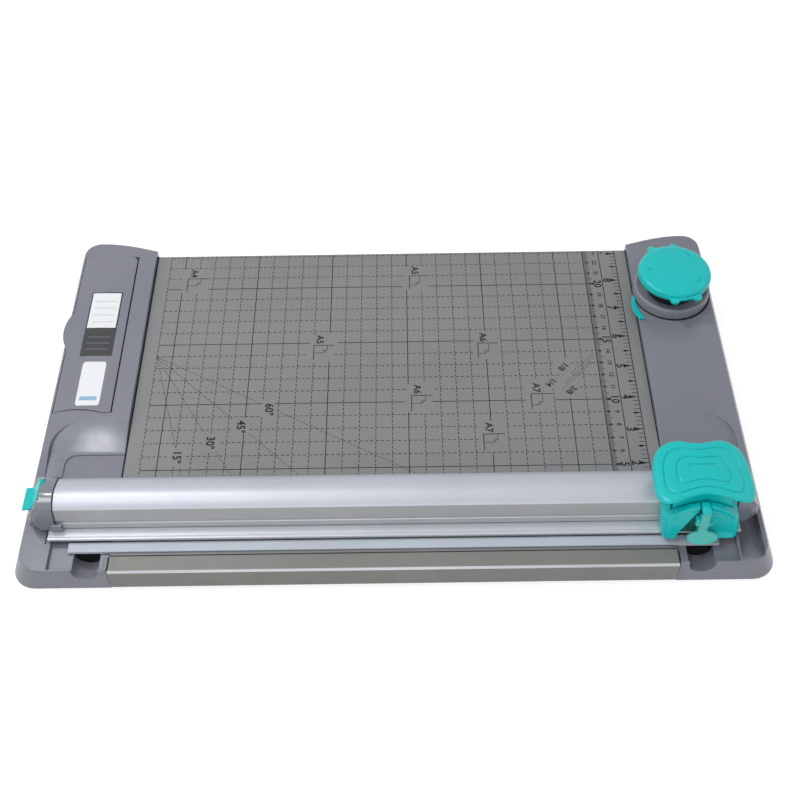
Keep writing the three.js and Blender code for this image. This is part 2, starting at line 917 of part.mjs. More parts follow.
function matChannel() {
  const lipTop = -channel.lipDrop;
  const end = halfCut - deck.endGap;
  return prismX(
    [
      [channelFront, channelBottom],
      [deck.front - fit, channelBottom],
      [deck.front - fit, channelTop],
      [channelFront + channel.wall, channelTop],
      [channelFront + channel.wall, lipTop],
      [channelFront, lipTop],
    ],
    -end,
    end,
  );
}

function cuttingMat() {
  return box(-halfCut - mat.reach, halfCut + mat.reach, -mat.width, 0, matBottom, 0);
}

function frontApron() {
  const { front, back, sheet, drop, brim, bend } = apron;
  const end = halfCut - apron.endGap;
  return prismX(
    [
      [front, -drop],
      [front + brim, -drop],
      [front + brim, -drop + sheet],
      [front + sheet, -drop + sheet],
      [front + sheet, -sheet],
      [back, -sheet],
      [back, 0],
      [front + bend, 0],
      [front, -bend],
    ],
    -end,
    end,
  );
}

// Rail: hollow extrusion with a guide groove low on its front face
const railOutline = railShares.map(([a, b]) => [rail.front + a * rail.depth, rail.bottom + b * rail.height]);

function railBody() {
  const left = -halfCut - rail.left;
  const right = halfCut + rail.right;
  const tube = cut(
    prismX(railOutline, left, right),
    prismX(offset(railOutline, -rail.wall), left - overrun, right + overrun),
  );
  const groove = box(
    left - overrun,
    right + overrun,
    rail.front - overrun,
    rail.front + rail.grooveDepth,
    rail.bottom + rail.grooveLow,
    rail.bottom + rail.grooveHigh,
  );
  const holeTop = rail.bottom + rail.wall + overrun;
  const postHole = (x) => rodZ(x, postY, post.guide, rail.bottom - overrun, holeTop, 20);
  return cut(tube, groove, postHole(postLeftX), postHole(postRightX));
}

// End cap of the rail, for the right-hand end: bevelled outside, hollow below, with a plug in the rail
function endCap(inner, width) {
  const outer = inner + width;
  const outline = offset(railOutline, cap.proud);
  const front = rail.front - cap.proud;
  const back = railBack + cap.proud;
  const top = railTop + cap.proud;
  const shell = prismX(outline, halfCut + inner, halfCut + outer);
  const below = endBox(
    inner - overrun,
    outer + overrun,
    front - overrun,
    back + overrun,
    tableLevel,
    rail.bottom,
  );
  const slopeCut = prismY(
    fromEnd([
      [outer - cap.bevelRun, top],
      [outer + fit, top - cap.bevelDrop],
      [outer + overrun, top - cap.bevelDrop],
      [outer + overrun, top + overrun],
      [outer - cap.bevelRun, top + overrun],
    ]),
    front - overrun,
    back + overrun,
  );
  const frontCut = prismZ(
    fromEnd([
      [outer - cap.frontBevelRun, front],
      [outer - cap.frontBevelRun, front - overrun],
      [outer + overrun, front - overrun],
      [outer + overrun, front + cap.frontBevelDepth],
      [outer, front + cap.frontBevelDepth],
    ]),
    tableLevel,
    top + overrun,
  );
  const backCut = prismZ(
    fromEnd([
      [outer - cap.backBevelRun, back],
      [outer, back - cap.backBevelDepth],
      [outer + overrun, back - cap.backBevelDepth],
      [outer + overrun, back + overrun],
      [outer - cap.backBevelRun, back + overrun],
    ]),
    tableLevel,
    top + overrun,
  );
  const hollow = prismY(
    fromEnd([
      [inner + cap.wall, rail.bottom - overrun],
      [outer - cap.wall, rail.bottom - overrun],
      [outer - cap.wall, rail.bottom + cap.hollowTop / 2],
      [outer - cap.bevelRun, rail.bottom + cap.hollowTop],
      [inner + cap.wall, rail.bottom + cap.hollowTop],
    ]),
    rail.front + cap.wall,
    railBack - cap.wall,
  );
  const plug = prismX(
    offset(railOutline, -rail.wall - fit),
    halfCut + inner - cap.plugLength,
    halfCut + inner + cap.wall / 2,
  );
  return join(cut(shell, below, slopeCut, frontCut, backCut, hollow), plug);
}

// Small toe of the left cap along the foot of the rail
function capToe(inner) {
  const front = rail.front - cap.proud;
  return endBox(
    inner - cap.toeLength,
    inner + cap.wall,
    front - cap.toeDepth / 2,
    rail.front - fit,
    rail.bottom,
    rail.bottom + cap.toeHeight,
  );
}

// Room in a plug for a guide post's head and spring, open downwards round the post
function postRoom(x) {
  return join(
    rodZ(Math.abs(x), postY, post.guide, rail.bottom, postChamberFloor + overrun, 20),
    rodZ(Math.abs(x), postY, post.chamber, postChamberFloor, rail.bottom + post.chamberTop, 24),
  );
}

// Latch lever in the left cap, with its window and its pin. The bevel is followed by s and by depth.
const bevel = new THREE.Vector2(cap.bevelRun + fit, -cap.bevelDrop).normalize();
const bevelOut = new THREE.Vector2(-bevel.y, bevel.x);

function onBevel(along, depth) {
  const startU = leftCapOuter - cap.bevelRun;
  const startZ = railTop + cap.proud;
  return [startU + bevel.x * along - bevelOut.x * depth, startZ + bevel.y * along - bevelOut.y * depth];
}

const latchPin = onBevel(latch.pinAlong, latch.pinDepth);

function latchLever() {
  const [pinU, pinZ] = latchPin;
  const upper = onBevel(latch.upperStart, 0);
  const upperIn = onBevel(latch.upperStart, latch.thick);
  const lower = onBevel(latch.lowerEnd, 0);
  const lowerIn = onBevel(latch.lowerEnd, latch.thick);
  const tabEnd = lower[0] + latch.tabReach;
  const legOuter = leftCapOuter - fit;
  const legInner = legOuter - latch.legThick;
  const legBottom = rail.bottom + latch.legFoot;
  const body = prismY(
    fromEnd([
      upper,
      upperIn,
      lowerIn,
      [legInner, lowerIn[1] - latch.thick],
      [legInner, legBottom + latch.noseHeight + latch.noseSlope],
      [legInner - latch.nose, legBottom + latch.noseHeight],
      [legInner - latch.nose, legBottom],
      [legOuter, legBottom],
      [legOuter, lower[1] - latch.tabThick],
      [tabEnd, lower[1] - latch.tabThick - latch.tabDroop],
      [tabEnd, lower[1] - latch.tabDroop],
      lower,
    ]).reverse(),
    latch.front,
    latch.back,
  );
  const roundBoss = rodY(halfCut + pinU, pinZ, latch.bossRadius, latch.front, latch.back, 20);
  const pinX = halfCut + pinU;
  const bore = rodY(pinX, pinZ, latch.pinRadius + running, latch.front - overrun, latch.back + overrun, 20);
  return cut(join(body, roundBoss), bore);
}

function latchWindow() {
  const [pinU, pinZ] = latchPin;
  const edgeStart = latch.upperStart - 2 * latch.gap;
  const depth = latch.thick + latch.gap;
  const front = latch.front - latch.gap;
  const back = latch.back + latch.gap;
  const side = leftCapOuter - latch.legThick - latch.nose;
  const opening = prismY(
    fromEnd([
      onBevel(edgeStart, -overrun),
      onBevel(edgeStart, depth),
      onBevel(latch.lowerEnd - latch.thick, depth),
      [side, rail.bottom + cap.hollowTop / 2],
      [side, rail.bottom - overrun],
      [leftCapOuter + overrun, rail.bottom - overrun],
      [leftCapOuter + overrun, onBevel(latch.lowerEnd, 0)[1]],
    ]).reverse(),
    front,
    back,
  );
  const bossRoom = rodY(halfCut + pinU, pinZ, latch.bossRadius + latch.gap, front, back, 20);
  return join(opening, bossRoom);
}

function latchPinRod(extra) {
  const [pinU, pinZ] = latchPin;
  const front = latch.front - latch.pinOverhang;
  const back = latch.back + latch.pinOverhang;
  return rodY(halfCut + pinU, pinZ, latch.pinRadius + extra, front - extra, back + extra, 20);
}

function latchStrike() {
  const { inner, sheet, height, footIn, front, back } = strike;
  const bottom = endCase.frontRise + fit;
  const body = prismY(
    fromEnd([
      [inner - footIn, bottom],
      [inner + sheet, bottom],
      [inner + sheet, bottom + height],
      [inner, bottom + height],
      [inner, bottom + sheet],
      [inner - footIn, bottom + sheet],
    ]),
    front,
    back,
  );
  const window = endBox(
    inner - overrun,
    inner + sheet + overrun,
    strikeWindow.front,
    strikeWindow.back,
    bottom + sheet + fit,
    bottom + strikeWindow.high,
  );
  return cut(body, window);
}

// Pressure bar under the rail, with a raised bead along its front edge
function pressureBar() {
  const left = -halfCut - bar.left;
  const right = hingeX - hinge.earNeckIn - barEndGap;
  const strip = prismX(
    [
      [bar.front, bar.beadBottom],
      [bar.front + bar.bead, bar.beadBottom],
      [bar.front + bar.bead, bar.sheetBottom],
      [bar.back, bar.sheetBottom],
      [bar.back, bar.sheetTop],
      [bar.front + bar.bead + bar.beadTop - bar.sheetTop, bar.sheetTop],
      [bar.front + bar.bead, bar.beadTop],
      [bar.front, bar.beadTop],
    ],
    left,
    right,
  );
  const hole = (x) => rodZ(x, postY, post.hole, bar.sheetBottom - overrun, bar.sheetTop + overrun, 20);
  return cut(strip, hole(postLeftX), hole(postRightX));
}

const postTop = rail.bottom + post.chamberTop - fit;

function guidePost(x) {
  const flangeBottom = postTop - post.flangeThick;
  const profile = [
    [0, bar.sheetBottom],
    [post.radius, bar.sheetBottom],
    [post.radius, flangeBottom],
    [post.flange, flangeBottom],
    [post.flange, postTop],
    [0, postTop],
  ];
  return turned(profile, x, postY, 20);
}

// Cutting head: the sliding body round the rail
const headX = halfCut + headMiddle;
const headHalf = (carriage.left + carriage.right) / 2;

function carriageBody() {
  const { front, back, bottom, topFront, topSide, frontCorner, backCorner } = carriage;
  const left = headX - headHalf;
  const right = headX + headHalf;
  const quarter = turn / 4;
  const plan = [
    ...arc(left + frontCorner, front + frontCorner, frontCorner, 2 * quarter, 3 * quarter, 5),
    ...arc(right - frontCorner, front + frontCorner, frontCorner, 3 * quarter, 4 * quarter, 5),
    ...arc(right - backCorner, back - backCorner, backCorner, 0, quarter, 4),
    ...arc(left + backCorner, back - backCorner, backCorner, quarter, 2 * quarter, 4),
  ];
  const block = prismZ(plan, bottom, topFront);
  const leanCut = prismX(
    [
      [front, bottom],
      [front + carriage.lean, topFront + overrun],
      [front - overrun, topFront + overrun],
      [front - overrun, bottom],
    ],
    left - overrun,
    right + overrun,
  );
  const archSteps = 12;
  const arch = [];
  for (let i = 0; i <= archSteps; i++) {
    const share = (2 * i) / archSteps - 1;
    arch.push([headX + share * (headHalf + overrun), topFront - carriage.archDrop * share * share]);
  }
  const sky = topFront + overrun;
  const archCut = prismY(
    [...arch, [right + overrun, sky], [left - overrun, sky]],
    front - overrun,
    carriage.wellFront + carriage.frontWall,
  );
  const sideCut = box(left - overrun, right + overrun, carriage.wellFront, back + overrun, topSide, sky);
  const wellFloor = railTop + carriage.channelGap + carriage.crownWall;
  const well = box(
    left + carriage.wellInset,
    right - carriage.wellInset,
    carriage.wellFront,
    carriage.wellBack,
    wellFloor,
    sky,
  );
  const slotTop = sky;
  const slotFront = front + carriage.lean + carriage.frontWall;
  const slot = prismX(
    [
      [front + carriage.frontWall, bottom - overrun],
      [carriage.slotBack, bottom - overrun],
      [carriage.slotBack, slotTop],
      [slotFront, slotTop],
      [front + carriage.frontWall, bottom],
    ],
    headX - carriage.slotHalf,
    headX + carriage.slotHalf,
  );
  const windowShape = [
    ...arc(headX, carriage.windowCentre, carriage.windowRadius, 0, turn / 2, 16),
    [headX - carriage.windowRadius, bottom - overrun],
    [headX + carriage.windowRadius, bottom - overrun],
  ];
  const window = prismY(windowShape, front - overrun, 0);
  const passage = prismX(
    [
      ...offset(railOutline, carriage.channelGap).slice(2),
      [rail.front - carriage.channelGap, bottom - overrun],
      [railBack + carriage.channelGap, bottom - overrun],
    ],
    left - overrun,
    right + overrun,
  );
  const backFootCut = box(
    left - overrun,
    right + overrun,
    railBack - overrun,
    back + overrun,
    bottom - overrun,
    carriage.backFoot,
  );
  const rib = box(
    left,
    right,
    rail.front - carriage.channelGap - overrun / 2,
    rail.front + rail.grooveDepth - carriage.ribGap,
    rail.bottom + rail.grooveLow + carriage.ribGap,
    rail.bottom + rail.grooveHigh - carriage.ribGap,
  );
  const ribGap = box(
    headX - carriage.slotHalf,
    headX + carriage.slotHalf,
    rail.front - 2 * overrun,
    rail.front + rail.grooveDepth,
    rail.bottom,
    rail.bottom + rail.grooveHigh,
  );
  const dish = (side) => {
    const geometry = new THREE.SphereGeometry(carriage.dishRadius, 20, 12);
    const x = headX + side * (carriage.slotHalf + (headHalf - carriage.slotHalf) / 2);
    const y = front + carriage.dishDepth - carriage.dishRadius;
    return solid(geometry.translate(x, y, (bottom + topFront) / 2 - carriage.dishDrop / 2));
  };
  const rooms = [well, slot, window, passage];
  const body = cut(block, leanCut, archCut, sideCut, backFootCut, ...rooms, dish(-1), dish(1));
  return join(body, cut(rib, ribGap));
}

// Press pad: saddle-shaped plate on a hollow neck, with a leg down in front of the rail
const padX = headX + pad.shift;

// Half outline of the pad as shares of its half width and depth, from the middle of the front to the back
const padRightShares = [
  [0, 0.1],
  [0.3, 0.07],
  [0.56, 0.02],
  [0.78, 0],
  [0.92, 0.06],
  [1, 0.2],
  [1, 0.45],
  [0.96, 0.7],
  [0.84, 0.9],
  [0.62, 0.99],
  [0.4, 1],
  [0.18, 0.96],
  [0, 0.945],
];

function padHeight(x) {
  const share = (x - padX) / pad.halfWidth;
  return pad.rise - pad.droop * share * share;
}

function padSolid() {
  const rightSide = padRightShares.map(([a, b]) => [padX + a * pad.halfWidth, pad.front + b * pad.depth]);
  const leftSide = rightSide
    .slice(1, -1)
    .reverse()
    .map(([x, y]) => [2 * padX - x, y]);
  const plan = [...rightSide, ...leftSide];
  const steps = pad.columns;
  const upper = [];
  const lower = [];
  for (let i = 0; i <= steps; i++) {
    const x = padX + pad.halfWidth * ((2 * i) / steps - 1) * (1 + 1 / steps);
    upper.push([x, padHeight(x)]);
    lower.push([x, padHeight(x) - pad.thick]);
  }
  const curved = prismY([...lower, ...upper.reverse()], pad.front - overrun, pad.front + pad.depth + overrun);
  const prism = prismZ(plan, pad.rise - pad.droop - 2 * pad.thick, pad.rise + overrun);
  return curved.intersect(prism);
}

function pressPad() {
  const { halfWidth, front, back, bottom, corner } = neck;
  const quarter = turn / 4;
  const plan = [
    ...arc(headX - halfWidth + corner, front + corner, corner, 2 * quarter, 3 * quarter, 4),
    ...arc(headX + halfWidth - corner, front + corner, corner, 3 * quarter, 4 * quarter, 4),
    ...arc(headX + halfWidth - corner, back - corner, corner, 0, quarter, 4),
    ...arc(headX - halfWidth + corner, back - corner, corner, quarter, 2 * quarter, 4),
  ];
  const column = prismZ(plan, bottom, padHeight(headX + halfWidth) - pad.thick / 2);
  const bore = rodZ(headX, springY, neck.boreRadius, bottom - overrun, neck.boreTop, 24);
  const legX = headX - leg.halfWidth;
  const frontLeg = box(legX, legX + 2 * leg.halfWidth, leg.front, leg.back, leg.bottom, bottom + overrun);
  return cut(join(column, padSolid(), frontLeg), bore);
}

const springY = (neck.front + neck.back) / 2;

// Blade cartridge: a front plate in the head's window and a back plate, joined by a yoke round the wheel,
// with the key-shaped pull tab in front
function bladeCartridge() {
  const { front, frontBack, backPlate, back, bottom, windowGap, backRadius, yokeTop, yokeFront } = cartridge;
  const { yokeHalf, yokeWall, stemHalf, stemTop, stemFront, stemBack } = cartridge;
  const { pinHalf, pinHeight, pinDrop } = cartridge;
  const below = box(headX - yokeHalf, headX + yokeHalf, front - overrun, back + overrun, tableLevel, bottom);
  const radius = carriage.windowRadius - windowGap;
  const lean = carriage.lean / (carriage.topFront - carriage.bottom);
  const leanCut = prismX(
    [
      [carriage.front, carriage.bottom],
      [carriage.front + lean * plateAboveTable, carriage.bottom + plateAboveTable],
      [carriage.front + lean * 2 * plateAboveTable, carriage.bottom + 2 * plateAboveTable],
      [carriage.front - overrun, carriage.bottom + 2 * plateAboveTable],
      [carriage.front - overrun, carriage.bottom],
    ],
    headX - yokeHalf,
    headX + yokeHalf,
  );
  const frontPlate = cut(
    join(
      rodY(headX, carriage.windowCentre, radius, front, frontBack, 32),
      box(headX - radius, headX + radius, front, frontBack, bottom, carriage.windowCentre),
    ),
    leanCut,
  );
  const rearPlate = rodY(headX, wheelCentre, backRadius, backPlate, back, 28);
  const yokeRoom = yokeHalf - yokeWall;
  const yoke = cut(
    box(headX - yokeHalf, headX + yokeHalf, yokeFront, back, bottom, yokeTop),
    box(headX - yokeRoom, headX + yokeRoom, frontBack, backPlate, tableLevel, yokeTop + overrun),
  );
  const stem = box(
    headX - stemHalf,
    headX + stemHalf,
    stemFront,
    stemBack,
    paddle.centreRise,
    stemTop,
  );
  const crossPins = box(
    headX - pinHalf,
    headX + pinHalf,
    stemFront + fit,
    front,
    stemTop - pinDrop - pinHeight,
    stemTop - pinDrop,
  );
  const geometry = new THREE.CylinderGeometry(1, 1, paddle.thick, 28);
  geometry.scale(paddle.halfWidth, 1, paddle.halfHeight);
  geometry.rotateX(-paddle.tilt);
  geometry.translate(headX, paddle.centreFront, paddle.centreRise);
  const body = join(cut(join(frontPlate, rearPlate), below), yoke, stem, crossPins, solid(geometry));
  return cut(body, rodY(headX, wheelCentre, axle.radius + running, axle.front - fit, back + overrun, 24));
}

function bladeAxle() {
  const { radius, front, back, end } = axle;
  const shape = [
    [0, front],
    [radius - end, front],
    [radius, front + end],
    [radius, back - end],
    [radius - end, back],
    [0, back],
  ];
  const geometry = new THREE.LatheGeometry(shape.map(([r, y]) => new THREE.Vector2(r, y)), 24);
  return solid(geometry.translate(headX, 0, wheelCentre));
}

function cuttingWheel() {
  const { radius, thick, plane, bevel: edge } = wheel;
  const profile = [
    [axle.radius + running, -thick / 2],
    [radius - edge, -thick / 2],
    [radius, 0],
    [radius - edge, thick / 2],
    [axle.radius + running, thick / 2],
  ];
  const points = [...profile, profile[0]].map(([r, h]) => new THREE.Vector2(r, h));
  const geometry = new THREE.LatheGeometry(points, 48);
  return solid(geometry.translate(headX, plane, wheelCentre));
}

// Storage lid with a crowned top, a thumb tab outside and two stub pins at its inner edge
function storageLid() {
  const { inner, outer, thick, crown, crownSteps } = lid;
  const bottom = endCase.deckRise - thick;
  const top = [];
  for (let i = 0; i <= crownSteps; i++) {
    const share = i / crownSteps;
    top.push([outer + (inner - outer) * share, endCase.deckRise + crown * Math.sin((share * turn) / 2)]);
  }
  const crowned = prismY(fromEnd([[inner, bottom], [outer, bottom], ...top]), lidPinFront, lid.back);
  const sky = endCase.deckRise + crown + overrun;
  const panel = crowned.intersect(prismZ(lidPlan(0, 0), bottom - overrun, sky));
  const half = (lid.tabBack - lid.tabFront) / 2;
  const radius = (half * half + lid.tabReach * lid.tabReach) / (2 * lid.tabReach);
  const spread = Math.asin(half / radius);
  const middle = (lid.tabBack + lid.tabFront) / 2;
  const tabPlan = [
    ...arc(outer + lid.tabReach - radius, middle, radius, -spread, spread, 10),
    [outer - thick, lid.tabBack],
    [outer - thick, lid.tabFront],
  ];
  const tab = prismZ(fromEnd(tabPlan), bottom, endCase.deckRise);
  const pin = (y0, y1) => rodY(halfCut + lidPin.u, lidPin.z, lid.pinRadius, y0, y1, 24);
  return join(
    panel,
    tab,
    pin(lidPinFront - lid.pinLength, lidPinFront + overrun),
    pin(lidPinBack - lid.backCorner, lidPinBack + lid.pinLength),
  );
}

// Corner rounder
const rounderX = halfCut + rounder.u;

function turretRing() {
  const { radius, rise, bore, rim, dishDepth, segments } = turret;
  const bottom = endCase.deckRise + fit;
  const top = bottom + rise;
  return turned(
    [
      [bore, bottom],
      [radius, bottom],
      [radius, top - rim / 2],
      [radius - rim / 4, top - rim / 8],
      [radius - rim / 2, top],
      [radius - rim, top - rim / 8],
      [bore + rim / 2, top - dishDepth],
      [bore, top - dishDepth],
    ],
    rounderX,
    rounder.y,
    segments,
  );
}

function punchAngles() {
  return Array.from({ length: punchCount }, (_, i) => turn / 2 + (turn * i) / punchCount);
}

// Plan of one punch: a block whose outer face is hollowed by the corner radius it cuts
function punchPlan(grow) {
  const halfWidth = punch.width / 2 + grow;
  const halfDepth = punch.depth / 2 + grow;
  return [
    [-halfDepth, -halfWidth],
    [halfDepth, -halfWidth],
    [halfDepth, halfWidth],
    [-halfDepth, halfWidth],
  ];
}

function atAngle(plan, angle, z0, z1) {
  const geometry = extruded(shapeOf(plan), z1 - z0);
  geometry.translate(punch.orbit, 0, z0);
  geometry.rotateZ(angle);
  return solid(geometry.translate(rounderX, rounder.y, 0));
}

function punchSolid(angle, index) {
  const block = atAngle(punchPlan(0), angle, punch.bottom, punch.top);
  const bite = punch.depth * punch.biteShare * ((index + 2) / (punchCount + 1));
  const radius = punch.width / 2 - bite / punchCount;
  const geometry = new THREE.CylinderGeometry(radius, radius, punch.top, 16);
  geometry.rotateX(turn / 4);
  geometry.translate(punch.orbit + punch.depth / 2 + radius - bite, 0, 0);
  geometry.rotateZ(angle);
  return cut(block, solid(geometry.translate(rounderX, rounder.y, punch.bottom)));
}

function dieDisc() {
  const disc = rodZ(rounderX, rounder.y, die.radius, die.top - die.thick, die.top, 32);
  const bore = rodZ(rounderX, rounder.y, die.bore, die.top - die.thick - overrun, die.top + overrun, 20);
  const holes = punchAngles().map((angle) =>
    atAngle(punchPlan(punch.gap), angle, die.top - die.thick - overrun, die.top + overrun),
  );
  return cut(disc, bore, ...holes);
}

function punchGuide() {
  const disc = rodZ(rounderX, rounder.y, guide.radius, guide.bottom, guide.top, 32);
  const tube = rodZ(rounderX, rounder.y, guide.tube, die.top + fit, guide.bottom + overrun, 20);
  const bore = rodZ(rounderX, rounder.y, die.bore, die.top, guide.top + overrun, 20);
  const holes = punchAngles().map((angle) =>
    atAngle(punchPlan(punch.gap), angle, guide.bottom - overrun, guide.top + overrun),
  );
  return cut(join(disc, tube), bore, ...holes);
}

function rounderPlunger() {
  const profile = [
    [0, plunger.shaftBottom],
    [plunger.shaft, plunger.shaftBottom],
    [plunger.shaft, plunger.bottom],
    [plunger.radius, plunger.bottom],
    [plunger.radius, plunger.top],
    [plunger.spigot, plunger.top],
    [plunger.spigot, plunger.spigotTop],
    [0, plunger.spigotTop],
  ];
  return turned(profile, rounderX, rounder.y, 32);
}

// Knob: domed cap with four small grip tabs in two pairs
function rounderKnob() {
  const { radius, bottom, bandTop, top, hub, wall, ceiling, segments } = knob;
  const dome = top - bandTop;
  const hubBottom = plunger.top + fit;
  const edge = arc(radius - dome, bandTop, dome, 0, turn / 4, 4);
  const capSolid = turned(
    [
      [0, ceiling],
      [plunger.spigot + fit, ceiling],
      [plunger.spigot + fit, hubBottom],
      [hub, hubBottom],
      [hub, ceiling],
      [radius - wall, ceiling],
      [radius - wall, bottom],
      [radius, bottom],
      ...edge,
      [0, top + dome / 4],
    ],
    rounderX,
    rounder.y,
    segments,
  );
  const degree = turn / 360;
  const angles = [0, turn / 2].flatMap((half) =>
    [-knobTab.spread, knobTab.spread].map((spread) => half + (knobTab.axis + spread) * degree),
  );
  const tabs = angles.map((angle) => {
    const x = rounderX + knobTab.orbit * Math.cos(angle);
    const y = rounder.y + knobTab.orbit * Math.sin(angle);
    return rodZ(x, y, knobTab.radius, knobTab.bottom, knobTab.top, 16);
  });
  const centre = rodZ(rounderX, rounder.y, radius - wall / 2, bottom - overrun, knobTab.top, segments);
  return join(capSolid, ...tabs.map((tab) => cut(tab, centre)));
}

// Crescent lip that keeps the paper's corner down at the mouth of the slot
function paperLip() {
  const low = endCase.deckRise + fit;
  const high = low + lip.thick;
  const disc = endRodZ(lip.u, lip.y, lip.radius, low, high, 48);
  const inside = endRodZ(lip.innerU, lip.innerY, lip.innerRadius, low - overrun, high + overrun, 48);
  const ringRoom = rodZ(rounderX, rounder.y, turret.radius + fit, low - overrun, high + overrun, 48);
  const keep = endBox(lip.u - 2 * lip.radius, lip.u / 2, lip.front, lip.back, low - overrun, high + overrun);
  return cut(disc.intersect(keep), inside, ringRoom);
}

// The whole assembly
addNode("left_case", leftCase(), "casing", true);
addNode("right_case", rightCase(), "casing");
addNode("left_bottom_cover", bottomCover(), "darkPlastic", true);
addNode("right_bottom_cover", bottomCover(), "darkPlastic");
coverScrewPlaces.forEach(([u, y], i) => {
  addNode("left_cover_screw_" + (i + 1), coverScrew(u, y), "steel", true);
  addNode("right_cover_screw_" + (i + 1), coverScrew(u, y), "steel");
});
footPlaces.forEach(([u, y], i) => {
  addNode("left_foot_" + (i + 1), rubberFoot(u, y), "rubber", true);
  addNode("right_foot_" + (i + 1), rubberFoot(u, y), "rubber");
});
addNode("deck_plate", deckPlate(), "sheet");
addNode("deck_stiffener", deckStiffener(), "steel");
addNode("mat_channel", matChannel(), "aluminium");
addNode("cutting_mat", cuttingMat(), "matStrip");
addNode("front_apron", frontApron(), "sheet");
addNode("latch_strike", latchStrike(), "steel", true);
addNode("hinge_pin", rodY(hingeX, hingeZ, hinge.radius, rail.front + hinge.inFromFront, railBack), "steel");

addNode("rail", railBody(), "aluminium");
const leftCapBody = cut(
  join(endCap(leftCapInner, cap.leftWidth), capToe(leftCapInner)),
  postRoom(postLeftX),
  latchWindow(),
  latchPinRod(running),
);
addNode("left_end_cap", leftCapBody, "casing", true);
const hingeBoreFront = rail.front + hinge.inFromFront - fit;
const hingeBore = rodY(hingeX, hingeZ, hinge.radius + running, hingeBoreFront, railBack + 2 * cap.proud);
const rightCapBody = cut(endCap(rightCapInner, cap.rightWidth), postRoom(postRightX), hingeBore);
addNode("right_end_cap", rightCapBody, "casing");
addNode("release_latch", latchLever(), "grip", true);
addNode("latch_pin", latchPinRod(0), "steel", true);

addNode("pressure_bar", pressureBar(), "aluminium");
addNode("bar_post_left", guidePost(postLeftX), "steel");
addNode("bar_post_right", guidePost(postRightX), "steel");
const barSpringTop = postTop - post.flangeThick - fit;
const barSpringLow = postChamberFloor + fit;
for (const [side, x] of [["left", postLeftX], ["right", postRightX]]) {
  const name = "bar_spring_" + side;
  addNode(name, springSolid(name, x, postY, barSpring, barSpringLow, barSpringTop), "steel");
}

addNode("head_body", carriageBody(), "grip");
addNode("press_pad", pressPad(), "grip");
const pressSpringLow = railTop + carriage.channelGap + carriage.crownWall + fit;
addNode(
  "press_spring",
  springSolid("press_spring", headX, springY, pressSpring, pressSpringLow, neck.boreTop - fit),
  "steel",
);
addNode("blade_cartridge", bladeCartridge(), "key");
addNode("blade_axle", bladeAxle(), "steel");
addNode("cutting_wheel", cuttingWheel(), "steel");

addNode("storage_lid", storageLid(), "casing", true);

addNode("rounder_turret", turretRing(), "casing");
addNode("rounder_knob", rounderKnob(), "grip");
addNode("rounder_plunger", rounderPlunger(), "darkPlastic");
addNode("rounder_die", dieDisc(), "zinc");
addNode("rounder_guide", punchGuide(), "darkPlastic");
punchAngles().forEach((angle, i) => addNode("rounder_punch_" + (i + 1), punchSolid(angle, i), "steel"));
addNode(
  "rounder_spring",
  springSolid("rounder_spring", rounderX, rounder.y, rounderSpring, guide.top + fit, plunger.bottom - fit),
  "steel",
);
addNode("rounder_lip", paperLip(), "grip");

// The part's origin is the middle of its footprint, on the table.
const extent = new THREE.Box3().setFromObject(part);
const middle = extent.getCenter(new THREE.Vector3());
part.position.set(-middle.x, -middle.y, -extent.min.z);

const trimmer = new THREE.Group();
trimmer.add(part);

export default trimmer;
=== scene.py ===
import json
import math
import bmesh
import bpy
from mathutils import Matrix, Vector


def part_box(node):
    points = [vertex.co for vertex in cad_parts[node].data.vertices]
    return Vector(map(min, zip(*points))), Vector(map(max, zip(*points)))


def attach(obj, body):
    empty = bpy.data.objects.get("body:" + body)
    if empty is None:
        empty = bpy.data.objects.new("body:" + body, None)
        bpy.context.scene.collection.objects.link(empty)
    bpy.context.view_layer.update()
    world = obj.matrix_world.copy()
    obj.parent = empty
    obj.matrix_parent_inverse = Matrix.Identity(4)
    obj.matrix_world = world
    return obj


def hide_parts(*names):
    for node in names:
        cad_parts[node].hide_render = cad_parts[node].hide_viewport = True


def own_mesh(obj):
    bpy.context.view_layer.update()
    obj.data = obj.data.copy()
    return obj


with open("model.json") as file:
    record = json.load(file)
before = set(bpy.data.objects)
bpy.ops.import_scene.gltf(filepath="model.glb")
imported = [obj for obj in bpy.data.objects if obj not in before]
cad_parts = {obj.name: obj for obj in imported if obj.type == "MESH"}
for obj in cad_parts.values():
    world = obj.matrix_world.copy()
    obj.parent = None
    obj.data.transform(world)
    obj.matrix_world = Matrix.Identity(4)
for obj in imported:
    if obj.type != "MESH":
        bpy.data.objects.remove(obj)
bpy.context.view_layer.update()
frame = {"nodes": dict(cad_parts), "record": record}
nodes = frame["nodes"]
mm = 0.001

# Studio: a white sweep seen by the camera and by glossy rays, one soft lamp overhead at the left, a narrow
# one beside it, weak ones in front and at the right, and the camera at the photograph's own viewpoint.


def linear(colour):
    """An sRGB hex colour as linear values."""
    channels = [int(colour[i : i + 2], 16) / 255 for i in (1, 3, 5)]
    return tuple(c / 12.92 if c <= 0.04045 else ((c + 0.055) / 1.055) ** 2.4 for c in channels) + (1.0,)


def add(tree, kind, settings=None, links=None):
    """A node with its settings, by attribute or input name, and its links, by input name."""
    made = tree.nodes.new("ShaderNode" + kind)
    for name, value in (settings or {}).items():
        if isinstance(name, str) and hasattr(made, name):
            setattr(made, name, value)
        else:
            made.inputs[name].default_value = value
    for name, source in (links or {}).items():
        tree.links.new(source[0].outputs[source[1]], made.inputs[name])
    return made


def new_material(name):
    """A material with an empty tree."""
    made = bpy.data.materials.new(name)
    made.use_nodes = True
    made.node_tree.nodes.clear()
    return made


def placed(name, data):
    """An object of the data, linked to the scene."""
    made = bpy.data.objects.new(name, data)
    scene.collection.objects.link(made)
    return made


